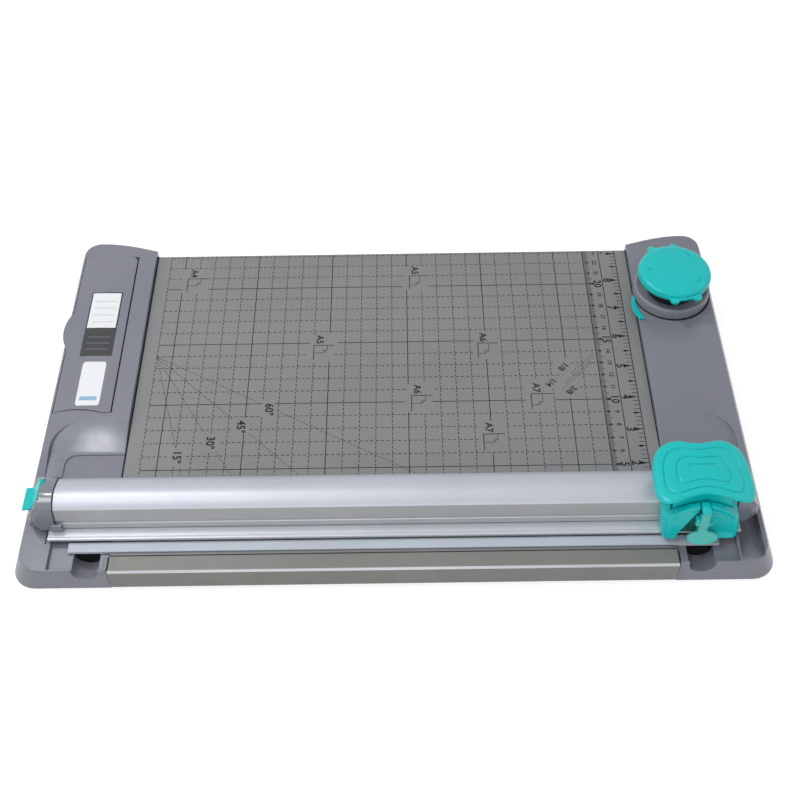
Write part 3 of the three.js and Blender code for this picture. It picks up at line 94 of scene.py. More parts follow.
def meshed(name, bm):
    """An object with bm as its mesh; bm is used up."""
    mesh = bpy.data.meshes.new(name)
    bm.to_mesh(mesh)
    bm.free()
    return placed(name, mesh)


scene = bpy.context.scene
scene.view_settings.view_transform = "Standard"

# the camera's place and turn were solved from the crossings of the printed grid in the photograph
camera = placed("camera", bpy.data.cameras.new("camera"))
camera.data.lens = 55.606
camera.data.sensor_width = 36
camera.location = (8.22 * mm, -496.49 * mm, 607.87 * mm)
forward = Vector((-0.004463, 0.637472, -0.770461)).normalized()
right = Vector((0.999891, -0.007990, -0.012403))
right = (right - forward * right.dot(forward)).normalized()
up = right.cross(forward)
camera.rotation_mode = "QUATERNION"
camera.rotation_quaternion = Matrix((right, up, -forward)).transposed().to_quaternion()
camera.data.clip_start = 0.01
camera.data.clip_end = 20
scene.camera = camera

world = bpy.data.worlds.new("white_studio")
world.use_nodes = True
sky = world.node_tree
sky.nodes.clear()
# strength one for the camera, glossy and transmitted rays, and a dimmer room for the light it gives
rays = add(sky, "LightPath")
either = {"operation": "MAXIMUM"}
seen = add(sky, "Math", either, {0: (rays, "Is Camera Ray"), 1: (rays, "Is Glossy Ray")})
seen = add(sky, "Math", either, {0: (seen, 0), 1: (rays, "Is Transmission Ray")})
room_light = 0.5
shown = add(sky, "Background", {"Color": (1, 1, 1, 1), "Strength": 1})
lit = add(sky, "Background", {"Color": linear("#fbfcff"), "Strength": room_light})
mixed = add(sky, "MixShader", {}, {0: (seen, 0), 1: (lit, 0), 2: (shown, 0)})
add(sky, "OutputWorld", {}, {"Surface": (mixed, 0)})
scene.world = world

lamps = {
    # place, size and aim in metres, power in watts; the overhead box is what the left ramp mirrors
    "overhead_box": ((-0.49, 0.37, 1.17), 0.2, 4.2, (-0.1, 0, 0)),
    "crest_box": ((-0.44, -0.22, 1.15), 0.3, 2.6, (-0.1, 0, 0)),
    "left_strip": ((-0.9, -0.35, 0.85), 0.3, 0.9, (0, 0, 0)),
    "right_box": ((1.1, 0.35, 1.0), 0.5, 0.8, (0.1, 0, 0)),
    "front_fill": ((-0.1, -1.5, 0.7), 0.6, 3.7, (-0.1, 0, 0)),
}
for lamp_name, (place, size, power, target) in lamps.items():
    light = bpy.data.lights.new(lamp_name, "AREA")
    light.shape = "DISK"
    light.size = size
    light.energy = power
    lamp = placed(lamp_name, light)
    lamp.location = place
    lamp.rotation_mode = "QUATERNION"
    lamp.rotation_quaternion = (Vector(target) - Vector(place)).to_track_quat("-Z", "Y")

# the sweep lies a hair below the feet, so that their soles and the paper don't share one plane
floor_half, floor_drop = 6, 0.05  # in metres and in mm
bm = bmesh.new()
bmesh.ops.create_grid(bm, x_segments=1, y_segments=1, size=floor_half)
floor = meshed("floor", bm)
floor.location.z = -floor_drop * mm
# matt photographic paper: white to the eye, with the part's faint shadow kept
floor_paper = new_material("white_sweep_paper")
tree = floor_paper.node_tree
rays = add(tree, "LightPath")
paper = add(tree, "BsdfDiffuse", {"Color": linear("#f2f2f2")})
glow = add(tree, "Emission", {"Color": (1, 1, 1, 1), "Strength": 0.83})
dim_paper = add(tree, "BsdfDiffuse", {"Color": linear("#9a9a9a")})
shown = add(tree, "AddShader", {}, {0: (glow, 0), 1: (dim_paper, 0)})
white = add(tree, "Emission", {"Color": (1, 1, 1, 1), "Strength": 1})
glossy = add(tree, "Math", either, {0: (rays, "Is Glossy Ray"), 1: (rays, "Is Transmission Ray")})
first = add(tree, "MixShader", {}, {0: (rays, "Is Camera Ray"), 1: (paper, 0), 2: (shown, 0)})
last = add(tree, "MixShader", {}, {0: (glossy, 0), 1: (first, 0), 2: (white, 0)})
add(tree, "OutputMaterial", {}, {"Surface": (last, 0)})
floor.data.materials.append(floor_paper)

# End cases: two hollow mouldings in grey ABS that carry the deck between them. The mould was spark eroded,
# so the skin has a fine satin grain that glints where it bends; the arrises are slightly polished by hands.

deck_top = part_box("deck_plate")[1][2] / mm
cut_line = -111.2  # y of the line that the wheel cuts, in mm
body_of = {n: body for body, names in frame["record"]["behaviour"]["bodies"].items() for n in names}


def span(low, high, at_low, at_high):
    """Settings that carry the range from low to high over to another one."""
    return {"From Min": low, "From Max": high, "To Min": at_low, "To Max": at_high}


def coated(made, settings, colour, rough, height, relief, normal=None, strength=1.0):
    """The end of a material: a bump with its relief in mm, under the shader's colour and roughness."""
    tree = made.node_tree
    sources = {"Height": height, "Normal": normal} if normal else {"Height": height}
    bump = add(tree, "Bump", {"Strength": strength, "Distance": relief * mm}, sources)
    surface = {"Base Color": colour, "Roughness": rough, "Normal": (bump, 0)}
    shader = add(tree, "BsdfPrincipled", settings, surface)
    add(tree, "OutputMaterial", {}, {"Surface": (shader, 0)})
    return made


def moulded(
    name, base, streak, grain, relief, roughness, shine=0.5, wear_share=0.35, worn="#e4e7ea", edge=0.5
):
    """A moulded or coated skin: base and streak colours, grain size and depth in mm, roughness range.

    Shine is its specular level, and its arrises, edge mm wide, take a share of the worn colour.
    The grain is drawn coarser than on the real skins, where it is too fine to show.
    """
    flow_marks, finger_marks = 70, 9  # their sizes in mm
    made = new_material(name)
    tree = made.node_tree
    place = {"Vector": (add(tree, "TexCoord"), "Object")}
    cloud = add(tree, "TexNoise", {"Scale": 1 / (flow_marks * mm), "Detail": 2.0}, place)
    fine = add(tree, "TexNoise", {"Scale": 1 / (grain * mm), "Detail": 3.0, "Roughness": 0.62}, place)
    smears = add(tree, "TexNoise", {"Scale": 1 / (finger_marks * mm), "Detail": 4.0}, place)
    share = add(tree, "MapRange", span(0.35, 0.65, 0, 1), {"Value": (cloud, "Fac")})
    tone = add(tree, "Mix", {"data_type": "RGBA", 6: linear(base), 7: linear(streak)}, {0: (share, 0)})
    mottle = add(tree, "MapRange", span(0.3, 0.7, 0.965, 1.035), {"Value": (fine, "Fac")})
    mottled = add(tree, "VectorMath", {"operation": "SCALE"}, {0: (tone, 2), "Scale": (mottle, 0)})
    # worn arrises: where a rounded normal turns away from the face's own
    rounded = add(tree, "Bevel", {"samples": 4, "Radius": edge * mm})
    both = {0: (rounded, 0), 1: (add(tree, "NewGeometry"), "Normal")}
    turned_by = add(tree, "VectorMath", {"operation": "DOT_PRODUCT"}, both)
    arris = add(tree, "MapRange", span(0.985, 0.86, 0, wear_share), {"Value": (turned_by, "Value")})
    rubbed = add(tree, "Math", {"operation": "MULTIPLY"}, {0: (arris, 0), 1: (cloud, "Fac")})
    colour = add(tree, "Mix", {"data_type": "RGBA", 7: linear(worn)}, {0: (rubbed, 0), 6: (mottled, 0)})
    rough = add(tree, "MapRange", span(0.35, 0.65, *roughness), {"Value": (smears, "Fac")})
    settings = {"IOR": 1.53, "Specular IOR Level": shine}
    return coated(made, settings, (colour, 2), (rough, 0), (fine, "Fac"), relief, (rounded, 0))


def new_piece(name, bm, material, body, replaced=()):
    """A finished mesh as a piece that rides on a body, in place of the CAD nodes named."""
    made = meshed(name, bm)
    made.data.materials.append(material)
    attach(made, body)
    if replaced:
        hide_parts(*replaced)
    return made


def smoothed(bm, limit=50):
    """Smooth faces with the edges that turn by more than limit kept sharp."""
    for face in bm.faces:
        face.smooth = True
    for edge in bm.edges:
        edge.smooth = not (edge.is_manifold and edge.calc_face_angle(0) > math.radians(limit))


def turned_out(bm, limit=50):
    """Smooth faces with all their normals turned outwards."""
    bmesh.ops.recalc_face_normals(bm, faces=bm.faces)
    smoothed(bm, limit)


merge_distance = 0.02


def merged_copy(node):
    """A CAD node's loose triangles as one joined skin."""
    bm = bmesh.new()
    bm.from_mesh(nodes[node].data)
    bmesh.ops.remove_doubles(bm, verts=bm.verts, dist=merge_distance * mm)
    return bm


def soften(bm, places, width, steps, affect="EDGES"):
    """Edges, or corners of a flat outline, rounded by width in mm."""
    bmesh.ops.bevel(
        bm,
        geom=places,
        offset=width * mm,
        offset_type="OFFSET",
        segments=steps,
        profile=0.5,
        affect=affect,
        material=-1,
    )


def eased(node, material, width, corner=32):
    """A CAD node's shape with every edge that turns by more than corner softened by width, in mm."""
    flat, shortest, room_needed = math.radians(0.5), 0.1 * mm, 1.3 * width * mm
    bm = merged_copy(node)
    bmesh.ops.dissolve_limit(bm, angle_limit=flat, verts=bm.verts, edges=bm.edges)
    sharp = []
    for edge in bm.edges:
        if edge.is_manifold and edge.calc_face_angle(0) > math.radians(corner):
            # an edge beside a face too narrow for the rounding stays as it is
            room = min(face.calc_area() for face in edge.link_faces) / max(edge.calc_length(), shortest)
            if room > room_needed:
                sharp.append(edge)
    soften(bm, sharp, width, 2)
    smoothed(bm)
    made = new_piece(node + "_moulding", bm, material, body_of[node], [node])
    weighted = made.modifiers.new("even_shading", "WEIGHTED_NORMAL")
    weighted.keep_sharp = True
    return made


# spark eroded ABS: an even, bluish satin grey. Its grain is drawn at 0.6 mm, coarser than real, to show
case_abs = moulded("spark_eroded_grey_abs", "#7b7d87", "#7f808a", 0.6, 0.014, (0.27, 0.31), 0.32)
case_arris = 0.35
cases = {node: eased(node, case_abs, case_arris) for node in ("left_case", "right_case")}

# a paler copy of the same ABS on the left case's ramp, its specular level raised round one point: a
# painted glow with a fine glitter that dies away from its middle
ramp_painted_glow_abs = moulded("grey_abs_with_painted_glow", "#828490", "#868893", 0.6, 0.03, (0.26, 0.32), 0.32)
glow_middle = (-174 * mm, -45 * mm, 20.5 * mm)
glow_core, glow_reach = 2, 21
tree = ramp_painted_glow_abs.node_tree
place = add(tree, "TexCoord")
from_glow_middle = add(tree, "VectorMath", {"operation": "DISTANCE", 1: glow_middle}, {0: (place, "Object")})
glow_range = {"interpolation_type": "SMOOTHSTEP", **span(glow_core * mm, glow_reach * mm, 0.66, 0.05)}
gloss = add(tree, "MapRange", glow_range, {"Value": (from_glow_middle, "Value")})
shader = next(made for made in tree.nodes if made.type == "BSDF_PRINCIPLED")
tree.links.new(gloss.outputs[0], shader.inputs["Specular IOR Level"])
left_case = cases["left_case"].data
left_case.materials.append(ramp_painted_glow_abs)
# the ramp is what falls gently towards the front; its faces take the painted glow
for face in left_case.polygons:
    if face.normal.y < -0.1 and face.normal.z > 0.95:
        face.material_index = 1

# Finger scoops: round hollows moulded into the cases at both ends of the cutting strip, which is lifted
# out by them. Behind each one the case is open to its unlit inside, painted as shade by a thin black backing.

scoop_x, scoop_radius, scoop_play = 172.5, 7.5, 0.08
scoop_front, scoop_low, scoop_slope = -20.5, -8.8, 0.25
scoop_ceiling = deck_top - 4.3
backing = 0.4
# painted shade for the unlit inside of the case: a soft black with no gloss
scoop_painted_shade = moulded("painted_shade_black_inside", "#0c0d0e", "#121314", 0.9, 0.02, (0.7, 0.85), 0.2, 0.0)


def push_out(bm, faces, by=(0, 0, 0)):
    """Faces extruded and moved by so many mm; the vertices that moved are given back."""
    pushed = bmesh.ops.extrude_face_region(bm, geom=faces)
    moved = [v for v in pushed["geom"] if isinstance(v, bmesh.types.BMVert)]
    bmesh.ops.translate(bm, verts=moved, vec=Vector(by) * mm)
    return moved


for side, sign, shown_at in (("left", -1, -4.9), ("right", 1, -5.5)):
    bm = bmesh.new()
    bmesh.ops.create_circle(bm, cap_ends=True, segments=40, radius=(scoop_radius - scoop_play) * mm)
    push_out(bm, bm.faces[:], (0, 0, backing))
    scoop_floor = deck_top + scoop_low + scoop_slope * (scoop_front - shown_at)
    middle = Vector((sign * scoop_x, shown_at + cut_line, scoop_floor + scoop_radius)) * mm
    upright = Matrix.Translation(middle) @ Matrix.Rotation(math.pi / 2, 4, "X")
    bmesh.ops.transform(bm, matrix=upright, verts=bm.verts)
    for vert in bm.verts:
        vert.co.z = min(vert.co.z, scoop_ceiling * mm)
    turned_out(bm)
    new_piece(f"{side}_scoop_shade_backing", bm, scoop_painted_shade, "base")

# Underside: moulded covers, each held by three countersunk zinc screws, and four round rubber feet.
# The screws are barrel plated and slightly cloudy; the rubber is matt and dusty.

# filled ABS: a rough, dusty black; on the rounder's guide and plunger the same black is painted shade under
# the knob
black_abs_and_knob_shade = moulded("black_filled_abs_and_painted_knob_shade", "#26292c", "#2d3033", 0.9, 0.02, (0.5, 0.68))
for node in ("left_bottom_cover", "right_bottom_cover"):
    eased(node, black_abs_and_knob_shade, 0.3)

# nitrile rubber: nearly black, with no shine
foot_rubber = moulded("matt_nitrile_rubber", "#2a2a2c", "#333335", 0.5, 0.04, (0.74, 0.9), 0.3, 0.15)
for side in ("left", "right"):
    for i in (1, 2):
        eased(f"{side}_foot_{i}", foot_rubber, 0.3)


def metal(name, base, tarnish, lay, stretch, relief, roughness, metallic=1.0):
    """A worked metal: base and tarnish colours, spacing of its lay in mm, stretch along x, depth in mm."""
    tarnish_size, worn_edge = 45, 0.25  # in mm
    made = new_material(name)
    tree = made.node_tree
    place = {"Vector": (add(tree, "TexCoord"), "Object")}
    drawn = add(tree, "Mapping", {"Scale": (1 / stretch, 1, 1)}, place)
    line_scale = {"Scale": 1 / (lay * mm), "Detail": 4.0, "Roughness": 0.6}
    lines = add(tree, "TexNoise", line_scale, {"Vector": (drawn, 0)})
    cloud = add(tree, "TexNoise", {"Scale": 1 / (tarnish_size * mm), "Detail": 3.0}, place)
    mixed = add(tree, "Math", {"operation": "MULTIPLY"}, {0: (lines, "Fac"), 1: (cloud, "Fac")})
    share = add(tree, "MapRange", span(0.12, 0.4, 0, 1), {"Value": (mixed, 0)})
    colour = add(tree, "Mix", {"data_type": "RGBA", 6: linear(base), 7: linear(tarnish)}, {0: (share, 0)})
    rough = add(tree, "MapRange", span(0.3, 0.7, *roughness), {"Value": (lines, "Fac")})
    rounded = add(tree, "Bevel", {"samples": 4, "Radius": worn_edge * mm})
    settings = {"Metallic": metallic}
    return coated(made, settings, (colour, 2), (rough, 0), (lines, "Fac"), relief, (rounded, 0))


def finish_node(node, material):
    """A CAD node that is shown as it is, in its own material."""
    nodes[node].data.materials.clear()
    nodes[node].data.materials.append(material)


# barrel zinc on steel: a cloudy, pale grey metal
zinc_plate = metal("zinc_plated_steel", "#a3a5a8", "#84868a", 0.6, 1, 0.006, (0.32, 0.5))
for side in ("left", "right"):
    for i in (1, 2, 3):
        finish_node(f"{side}_cover_screw_{i}", zinc_plate)

# Deck: a folded steel sheet, stove enamelled in grey, with a hat-section stiffener under it and a folded
# apron in front. The enamel is satin with a faint orange peel.

# stove enamel: a plain satin grey, whose faint orange peel blurs what it reflects
enamel = moulded("stove_enamelled_steel", "#7a7b7b", "#7e7f7f", 0.6, 0.008, (0.46, 0.56), 0.5, 0.2)
eased("deck_plate", enamel, 0.3)
eased("deck_stiffener", enamel, 0.3)
# the apron's enamel: a shade darker and glossier, so that the front light lies on it as a soft sheen
apron_enamel = moulded("satin_enamelled_apron", "#767672", "#7a7a76", 0.6, 0.008, (0.4, 0.5), 0.5, 0.3)
# a pale copy of the enamel on the faces of the fold: a painted highlight along the apron's bend
bend_painted_highlight = moulded("enamel_with_painted_bend_highlight", "#c4c4ca", "#cdcdd2", 0.6, 0.004, (0.2, 0.26), 0.5, 0.1)
apron = eased("front_apron", apron_enamel, 0.38)
apron.data.materials.append(bend_painted_highlight)
# the fold's faces, turned up and to the front, take the painted highlight
for face in apron.data.polygons:
    if face.normal.y < -0.3 and face.normal.z > 0.3:
        face.material_index = 1

# Gap strips: thin black strips laid into the gap between the steel sheet and the foot of each case's
# wall, and into the gap at each end of the apron. They stand for the dark in these gaps: painted shade.

# painted shade: a dead black line for the dark in the gaps, with no gloss
gap_shade_black = moulded("black_painted_gap_shade", "#26292a", "#2e3132", 0.4, 0.05, (0.85, 0.95), 0.1, 0.0)
fence = 160.0
gap_shade_edge = 0.03


def felt_strip(name, middle, size):
    """A black strip of painted gap shade, its edges barely rounded, from its middle and its size in mm."""
    bm = bmesh.new()
    place = Matrix.Translation(Vector(middle) * mm) @ Matrix.Diagonal((*(Vector(size) * mm), 1))
    bmesh.ops.create_cube(bm, size=1, matrix=place)
    soften(bm, bm.edges[:], gap_shade_edge, 1)
    new_piece(name, bm, gap_shade_black, "base")


strip_front, strip_back = cut_line + 5.5, cut_line + 232
apron_low, apron_high = (Vector(corner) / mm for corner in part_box("front_apron"))
apron_run = apron_high.y - apron_low.y - 2.4
apron_middle = (apron_high.y + apron_low.y) / 2 + 0.4
for side, sign, width in (("left", -1, 1.0), ("right", 1, 0.8)):
    strip_x = sign * (fence + 0.1 - width / 2)
    strip_run = strip_back - strip_front
    middle = (strip_x, (strip_front + strip_back) / 2, deck_top + 0.04)
    felt_strip(f"deck_gap_shade_strip_{side}", middle, (width, strip_run, 0.12))
for side, sign in (("left", -1), ("right", 1)):
    middle = (sign * (fence - 0.45), apron_middle, apron_high.z - 0.02)
    felt_strip(f"apron_gap_shade_strip_{side}", middle, (0.9, apron_run, 0.16))

# Print on the deck: dark grey screen ink, a tenth of a millimetre thick at most, in millimetres from the
# fence (x) and from the cut line (y). Centimetre grid, rulers, angle lines and marks for paper sizes.

ink_top, ink_depth = deck_top + 0.03, 0.06
print_front, print_back = 4.0, 231.5
gaps = []  # boxes that the grid leaves bare: x from, x to, y from, y to


def is_bare(x, y):
    """Whether the grid stays off a point."""
    return any(g[0] < x < g[1] and g[2] < y < g[3] for g in gaps)


def bar_between(a, b, width, thick, longer=0.0):
    """The matrix that makes a unit cube a flat bar from a to b, all in mm."""
    run = Vector((b[0] - a[0], b[1] - a[1]))
    return (
        Matrix.Translation(((a[0] + b[0]) / 2 * mm, (a[1] + b[1]) / 2 * mm, 0))
        @ Matrix.Rotation(math.atan2(run.y, run.x), 4, "Z")
        @ Matrix.Diagonal(((run.length + longer) * mm, width * mm, thick * mm, 1))
    )


def stroke(bm, a, b, width, spare=False):
    """One inked line from a to b; spare lines stay off the places kept bare."""
    if spare and is_bare((a[0] + b[0]) / 2, (a[1] + b[1]) / 2):
        return
    if math.hypot(b[0] - a[0], b[1] - a[1]) < width / 4:
        return
    origin = Matrix.Translation((fence * mm, cut_line * mm, (ink_top - ink_depth / 2) * mm))
    bmesh.ops.create_cube(bm, size=1, matrix=origin @ bar_between(a, b, width, ink_depth))


def solid_line(bm, a, b, width, spare=True):
    """A full line, laid in short lengths so that the bare places can interrupt it."""
    short_length = 2.5
    count = max(1, round(math.hypot(b[0] - a[0], b[1] - a[1]) / short_length)) if spare else 1
    points = [(a[0] + (b[0] - a[0]) * i / count, a[1] + (b[1] - a[1]) * i / count) for i in range(count + 1)]
    start = None
    for p, q in zip(points, points[1:]):
        bare = spare and is_bare((p[0] + q[0]) / 2, (p[1] + q[1]) / 2)
        if start is None and not bare:
            start = p
        if start is not None and (bare or q is points[-1]):
            stroke(bm, start, p if bare else q, width)
            start = None


def dashed_line(bm, a, b, width, dash=2.0, gap=1.33, spare=True):
    """A line of dashes from a to b, the last one cut short."""
    length = math.hypot(b[0] - a[0], b[1] - a[1])
    ux, uy = (b[0] - a[0]) / length, (b[1] - a[1]) / length
    at = 0.0
    while at < length:
        end = min(at + dash, length)
        stroke(bm, (a[0] + ux * at, a[1] + uy * at), (a[0] + ux * end, a[1] + uy * end), width, spare)
        at += dash + gap


paper_marks = [
    # name, corner x, corner y, lying
    ("A4", -297, 210, True),
    ("A5", -148, 210, False),
    ("A5", -210, 148, True),
    ("A6", -148, 105, True),
    ("A6", -105, 148, False),
    ("A7", -105, 74, True),
    ("A7", -74, 105, False),
]
angle_marks = [
    # name, label x, label y, degrees
    ("15°", -289, 59.6, 15),
    ("30°", -270, 70, 30),
    ("45°", -252.4, 82, 45),
    ("60°", -236, 95.3, 60),
]
bevel_marks = [
    # name, label x, label y, line from, line to
    ("1/8", -52, 127, (-32.4, 137.4), (-47.9, 121.0)),
    ("1/4", -60.7, 114, (-32.4, 134.3), (-51.4, 113.9)),
    ("3/8", -48.6, 107.7, (-33.6, 130.3), (-54.3, 108.4)),
]
for _, cx, cy, _ in paper_marks:
    gaps.append((cx - 3.5, cx + 14, cy - 14, cy + 10))
for _, x, y, _ in angle_marks:
    gaps.append((x - 4.5, x + 4.5, y - 6.5, y + 6.5))
for _, x, y, _, _ in bevel_marks:
    gaps.append((x - 5, x + 5, y - 5, y + 5))
gaps.append((-54, -46, 100.6, 133))

grid_left, cm_base, middle_line, inch_base = -310.0, -30.0, -19, -8.0
full_line, fine_line, hair_line, sheet_line = 0.52, 0.46, 0.36, 0.32
short_dashes = (1.4, 1.0)
angle_corner = 140  # y of the point from which the angles are drawn
ink_lines = bmesh.new()
for x in range(-310, -30, 10):
    if x % 50 == 0:
        solid_line(ink_lines, (x, print_front), (x, print_back), full_line)
    else:
        dashed_line(ink_lines, (x, print_front), (x, print_back), fine_line)
for y in range(10, 231, 10):
    if y % 50 == 0:
        solid_line(ink_lines, (grid_left, y), (cm_base, y), full_line)
    else:
        dashed_line(ink_lines, (grid_left, y), (cm_base, y), fine_line)
for _, _, _, degrees in angle_marks:
    turned_to = math.radians(degrees)
    reach = min((angle_corner - print_front) / math.cos(turned_to), 290 / math.sin(turned_to))
    foot_point = (grid_left + reach * math.sin(turned_to), angle_corner - reach * math.cos(turned_to))
    dashed_line(ink_lines, (grid_left, angle_corner), foot_point, hair_line, *short_dashes)
for _, _, _, a, b in bevel_marks:
    dashed_line(ink_lines, a, b, hair_line, *short_dashes, False)

# the two rulers: rules, ticks and arrowheads
for x in (cm_base, middle_line, inch_base):
    solid_line(ink_lines, (x, print_front), (x, print_back), full_line, False)
for tick in range(int(print_front) + 1, int(print_back) + 1):
    reach = 4.2 if tick % 5 == 0 else 2.9
    stroke(ink_lines, (cm_base, tick), (cm_base + reach, tick), hair_line)
inch_length = 25.4
eighth = inch_length / 8
for tick in range(2, int(print_back / eighth) + 1):
    reach, width = (5.2, 0.55) if tick % 4 == 0 else (3.8, 0.42)
    stroke(ink_lines, (inch_base - reach, tick * eighth), (inch_base, tick * eighth), width)


def arrowhead(bm, tip, reach, half):
    """A small solid triangle whose tip points along x; reach is negative where it points to the left."""
    base = tip[0] - reach
    points = [(tip[0], tip[1]), (base, tip[1] + half), (base, tip[1] - half)]
    if reach < 0:
        points.reverse()
    origin = Vector((fence, cut_line, ink_top - ink_depth))
    low = bm.faces.new([bm.verts.new((origin + Vector((x, y, 0))) * mm) for x, y in points])
    low.normal_update()
    if low.normal.z > 0:
        low.normal_flip()
    push_out(bm, [low], (0, 0, ink_depth))


for cm in range(1, 23):
    reach, half = (4.8, 1.15) if cm % 5 == 0 else (2.9, 0.8)
    arrowhead(ink_lines, (cm_base + 0.2, cm * 10), -reach, half)
for inch in range(1, 10):
    arrowhead(ink_lines, (inch_base - 0.9, inch * inch_length), 4.9, 1.35)
    half_inch = (inch - 0.5) * inch_length
    if half_inch > print_front:
        arrowhead(ink_lines, (inch_base - 0.4, half_inch), 3.6, 1.05)

for name, cx, cy, lying in paper_marks:
    stroke(ink_lines, (cx, cy), (cx + 13, cy), full_line)
    stroke(ink_lines, (cx, cy), (cx, cy - 12.4), full_line)
    # a small sheet with its corner folded over
    wide, high, fold = (8.6, 6.4, 2.4) if lying else (6.9, 8.9, 2.6)
    side, foot = cx + wide, cy - high
    sheet = [(side, cy), (side, foot + fold), (side - fold, foot), (cx, foot)]
    for p, q in zip(sheet, sheet[1:]):
        stroke(ink_lines, p, q, sheet_line)
    for end in (sheet[1], sheet[2]):
        stroke(ink_lines, end, (side - fold, foot + fold), sheet_line)

# screen ink: near black and flat, a little rougher than the enamel round it
screen_ink = moulded("screen_printed_ink", "#232525", "#2b2d2d", 0.4, 0.01, (0.6, 0.75), 0.2, 0.0)
new_piece("deck_print_lines", ink_lines, screen_ink, "base")

capital_share, weight_share = 0.729, 0.034  # a capital's height in the built-in face, and bolder strokes


def letters(bm, text, height, x, y, turned_to):
    """Flat lettering, its capitals height mm high, centred on x, y in the print's own millimetres."""
    curve = bpy.data.curves.new("lettering", "FONT")
    curve.body = text
    curve.size = height * mm / capital_share
    curve.align_x = "CENTER"
    curve.align_y = "CENTER"
    curve.extrude = ink_depth / 2 * mm
    curve.resolution_u = 3
    curve.offset = weight_share * height * mm
    holder = placed("lettering", curve)
    flat = bpy.data.meshes.new_from_object(holder.evaluated_get(bpy.context.evaluated_depsgraph_get()))
    bpy.data.objects.remove(holder)
    spot = Matrix.Translation(((fence + x) * mm, (cut_line + y) * mm, (ink_top - ink_depth / 2) * mm))
    flat.transform(spot @ Matrix.Rotation(math.radians(turned_to), 4, "Z"))
    bm.from_mesh(flat)
    bpy.data.meshes.remove(flat)


ink_text = bmesh.new()
reading_down = -90
for cm in range(1, 23):
    letters(ink_text, str(cm), 5.0 if cm % 5 == 0 else 2.9, -22.6, cm * 10, reading_down)
for inch in range(1, 9):
    letters(ink_text, str(inch), 5.3, -16.0, inch * inch_length, reading_down)
for name, x in (("cm", -22.2), ("in", -16.8)):
    letters(ink_text, name, 2.1, x, 229.4, reading_down)
for name, cx, cy, lying in paper_marks:
    letters(ink_text, name, 4.6, cx + 3.5, cy + 5, reading_down)
for name, x, y, _ in angle_marks:
    letters(ink_text, name, 5.2, x, y, reading_down)
for name, x, y, _, _ in bevel_marks:
    letters(ink_text, name, 4.2, x, y, 225)
new_piece("deck_print_lettering", ink_text, screen_ink, "base")

# Cutting strip: a loose strip of pale, hard PVC in an aluminium channel, scored by the wheel along its
# length. It can be lifted out from either end by the finger scoops.

# hard PVC: a pale, bluish strip with a dull bloom
strip_pvc = moulded("scored_pale_pvc", "#b3bbc6", "#b8c0ca", 0.5, 0.012, (0.4, 0.55), 0.5, 0.1)
eased("cutting_mat", strip_pvc, 0.25)
# anodised channel, drawn darker as painted shade: its lip stands for the dark gap in front of the strip, and
# its drawing lines are faint along it
channel_gap_shade_anodised = metal("grey_anodised_aluminium_with_painted_gap_shade", "#6f7071", "#77787a", 0.22, 30, 0.004, (0.45, 0.6), 0.3)
eased("mat_channel", channel_gap_shade_anodised, 0.2)

# Arm: an extruded aluminium tube, clear anodised, with a groove along its front in which the head runs.
# It swings on a steel pin at its right end, and both its ends are closed by grey ABS caps.

# clear anodised extrusion: pale and silky, streaked along its length
anodised = metal("clear_anodised_aluminium", "#bcbfc8", "#b4b7c0", 0.22, 30, 0.004, (0.42, 0.5), 0.5)
# the sloping front, which faces down to the front: a duller, greyer copy of the anodised metal, painted shade
drawn = metal("aluminium_slope_with_painted_shade", "#b6b8b9", "#abadad", 0.22, 30, 0.006, (0.42, 0.55), 0.4)
rail = eased("rail", anodised, 0.3, 30)
rail.data.materials.append(drawn)
# faces that look down to the front take the greyer copy: painted shade
for face in rail.data.polygons:
    if face.normal.y < -0.88 and abs(face.normal.x) < 0.5:
        face.material_index = 1
# ABS from a polished mould: the cases' grey with clearer reflections
cap_abs = moulded("polished_grey_abs", "#7b7d87", "#7f808a", 0.6, 0.006, (0.16, 0.2), 0.5)
for node in ("left_end_cap", "right_end_cap"):
    eased(node, cap_abs, 0.3, 48)
# ground steel: bright, with crisp highlights where it is round
bright_steel = metal("ground_bright_steel", "#b9bcc0", "#a9acb0", 0.3, 1, 0.004, (0.22, 0.36))
for node in ("hinge_pin", "latch_pin"):
    finish_node(node, bright_steel)

# Release latch: a teal ABS lever on a steel pin in the left cap, its lower end hooked into a bent steel
# strike on the case. The teal is the same gloss as the pad and the knob.

# glossy ABS: a strong teal with smooth, bright highlights
grip_abs = moulded("glossy_teal_abs", "#04c0bf", "#0ac4c2", 1.4, 0.002, (0.2, 0.26), 0.28, 0.0, edge=0.15)


def teal(name, bm, body, replaced=()):
    """A piece of that glossy teal."""
    return new_piece(name, bm, grip_abs, body, replaced)


eased("release_latch", grip_abs, 0.3)
finish_node("latch_strike", zinc_plate)

# Pressure bar: a thin aluminium strip with a bead along its front edge. It hangs under the rail on two
# headed posts, each with a small wire spring that holds it up until the head comes down.

# bright anodised strip: the palest metal here, a light line under the rail
bar_skin = metal("bright_anodised_strip", "#cfd1d9", "#c6c8d0", 0.22, 30, 0.003, (0.34, 0.44), 0.25)
eased("pressure_bar", bar_skin, 0.2, 25)
for node in ("bar_post_left", "bar_post_right"):
    finish_node(node, bright_steel)

# drawn spring wire: a grey steel, darker than the ground pins
spring_wire = metal("music_wire", "#b4b6ba", "#9b9ea3", 0.2, 1, 0.003, (0.25, 0.38))


def capped(bm):
    """Open ends filled, and the skin made smooth."""
    bmesh.ops.holes_fill(bm, edges=[e for e in bm.edges if e.is_boundary], sides=0)
    turned_out(bm)


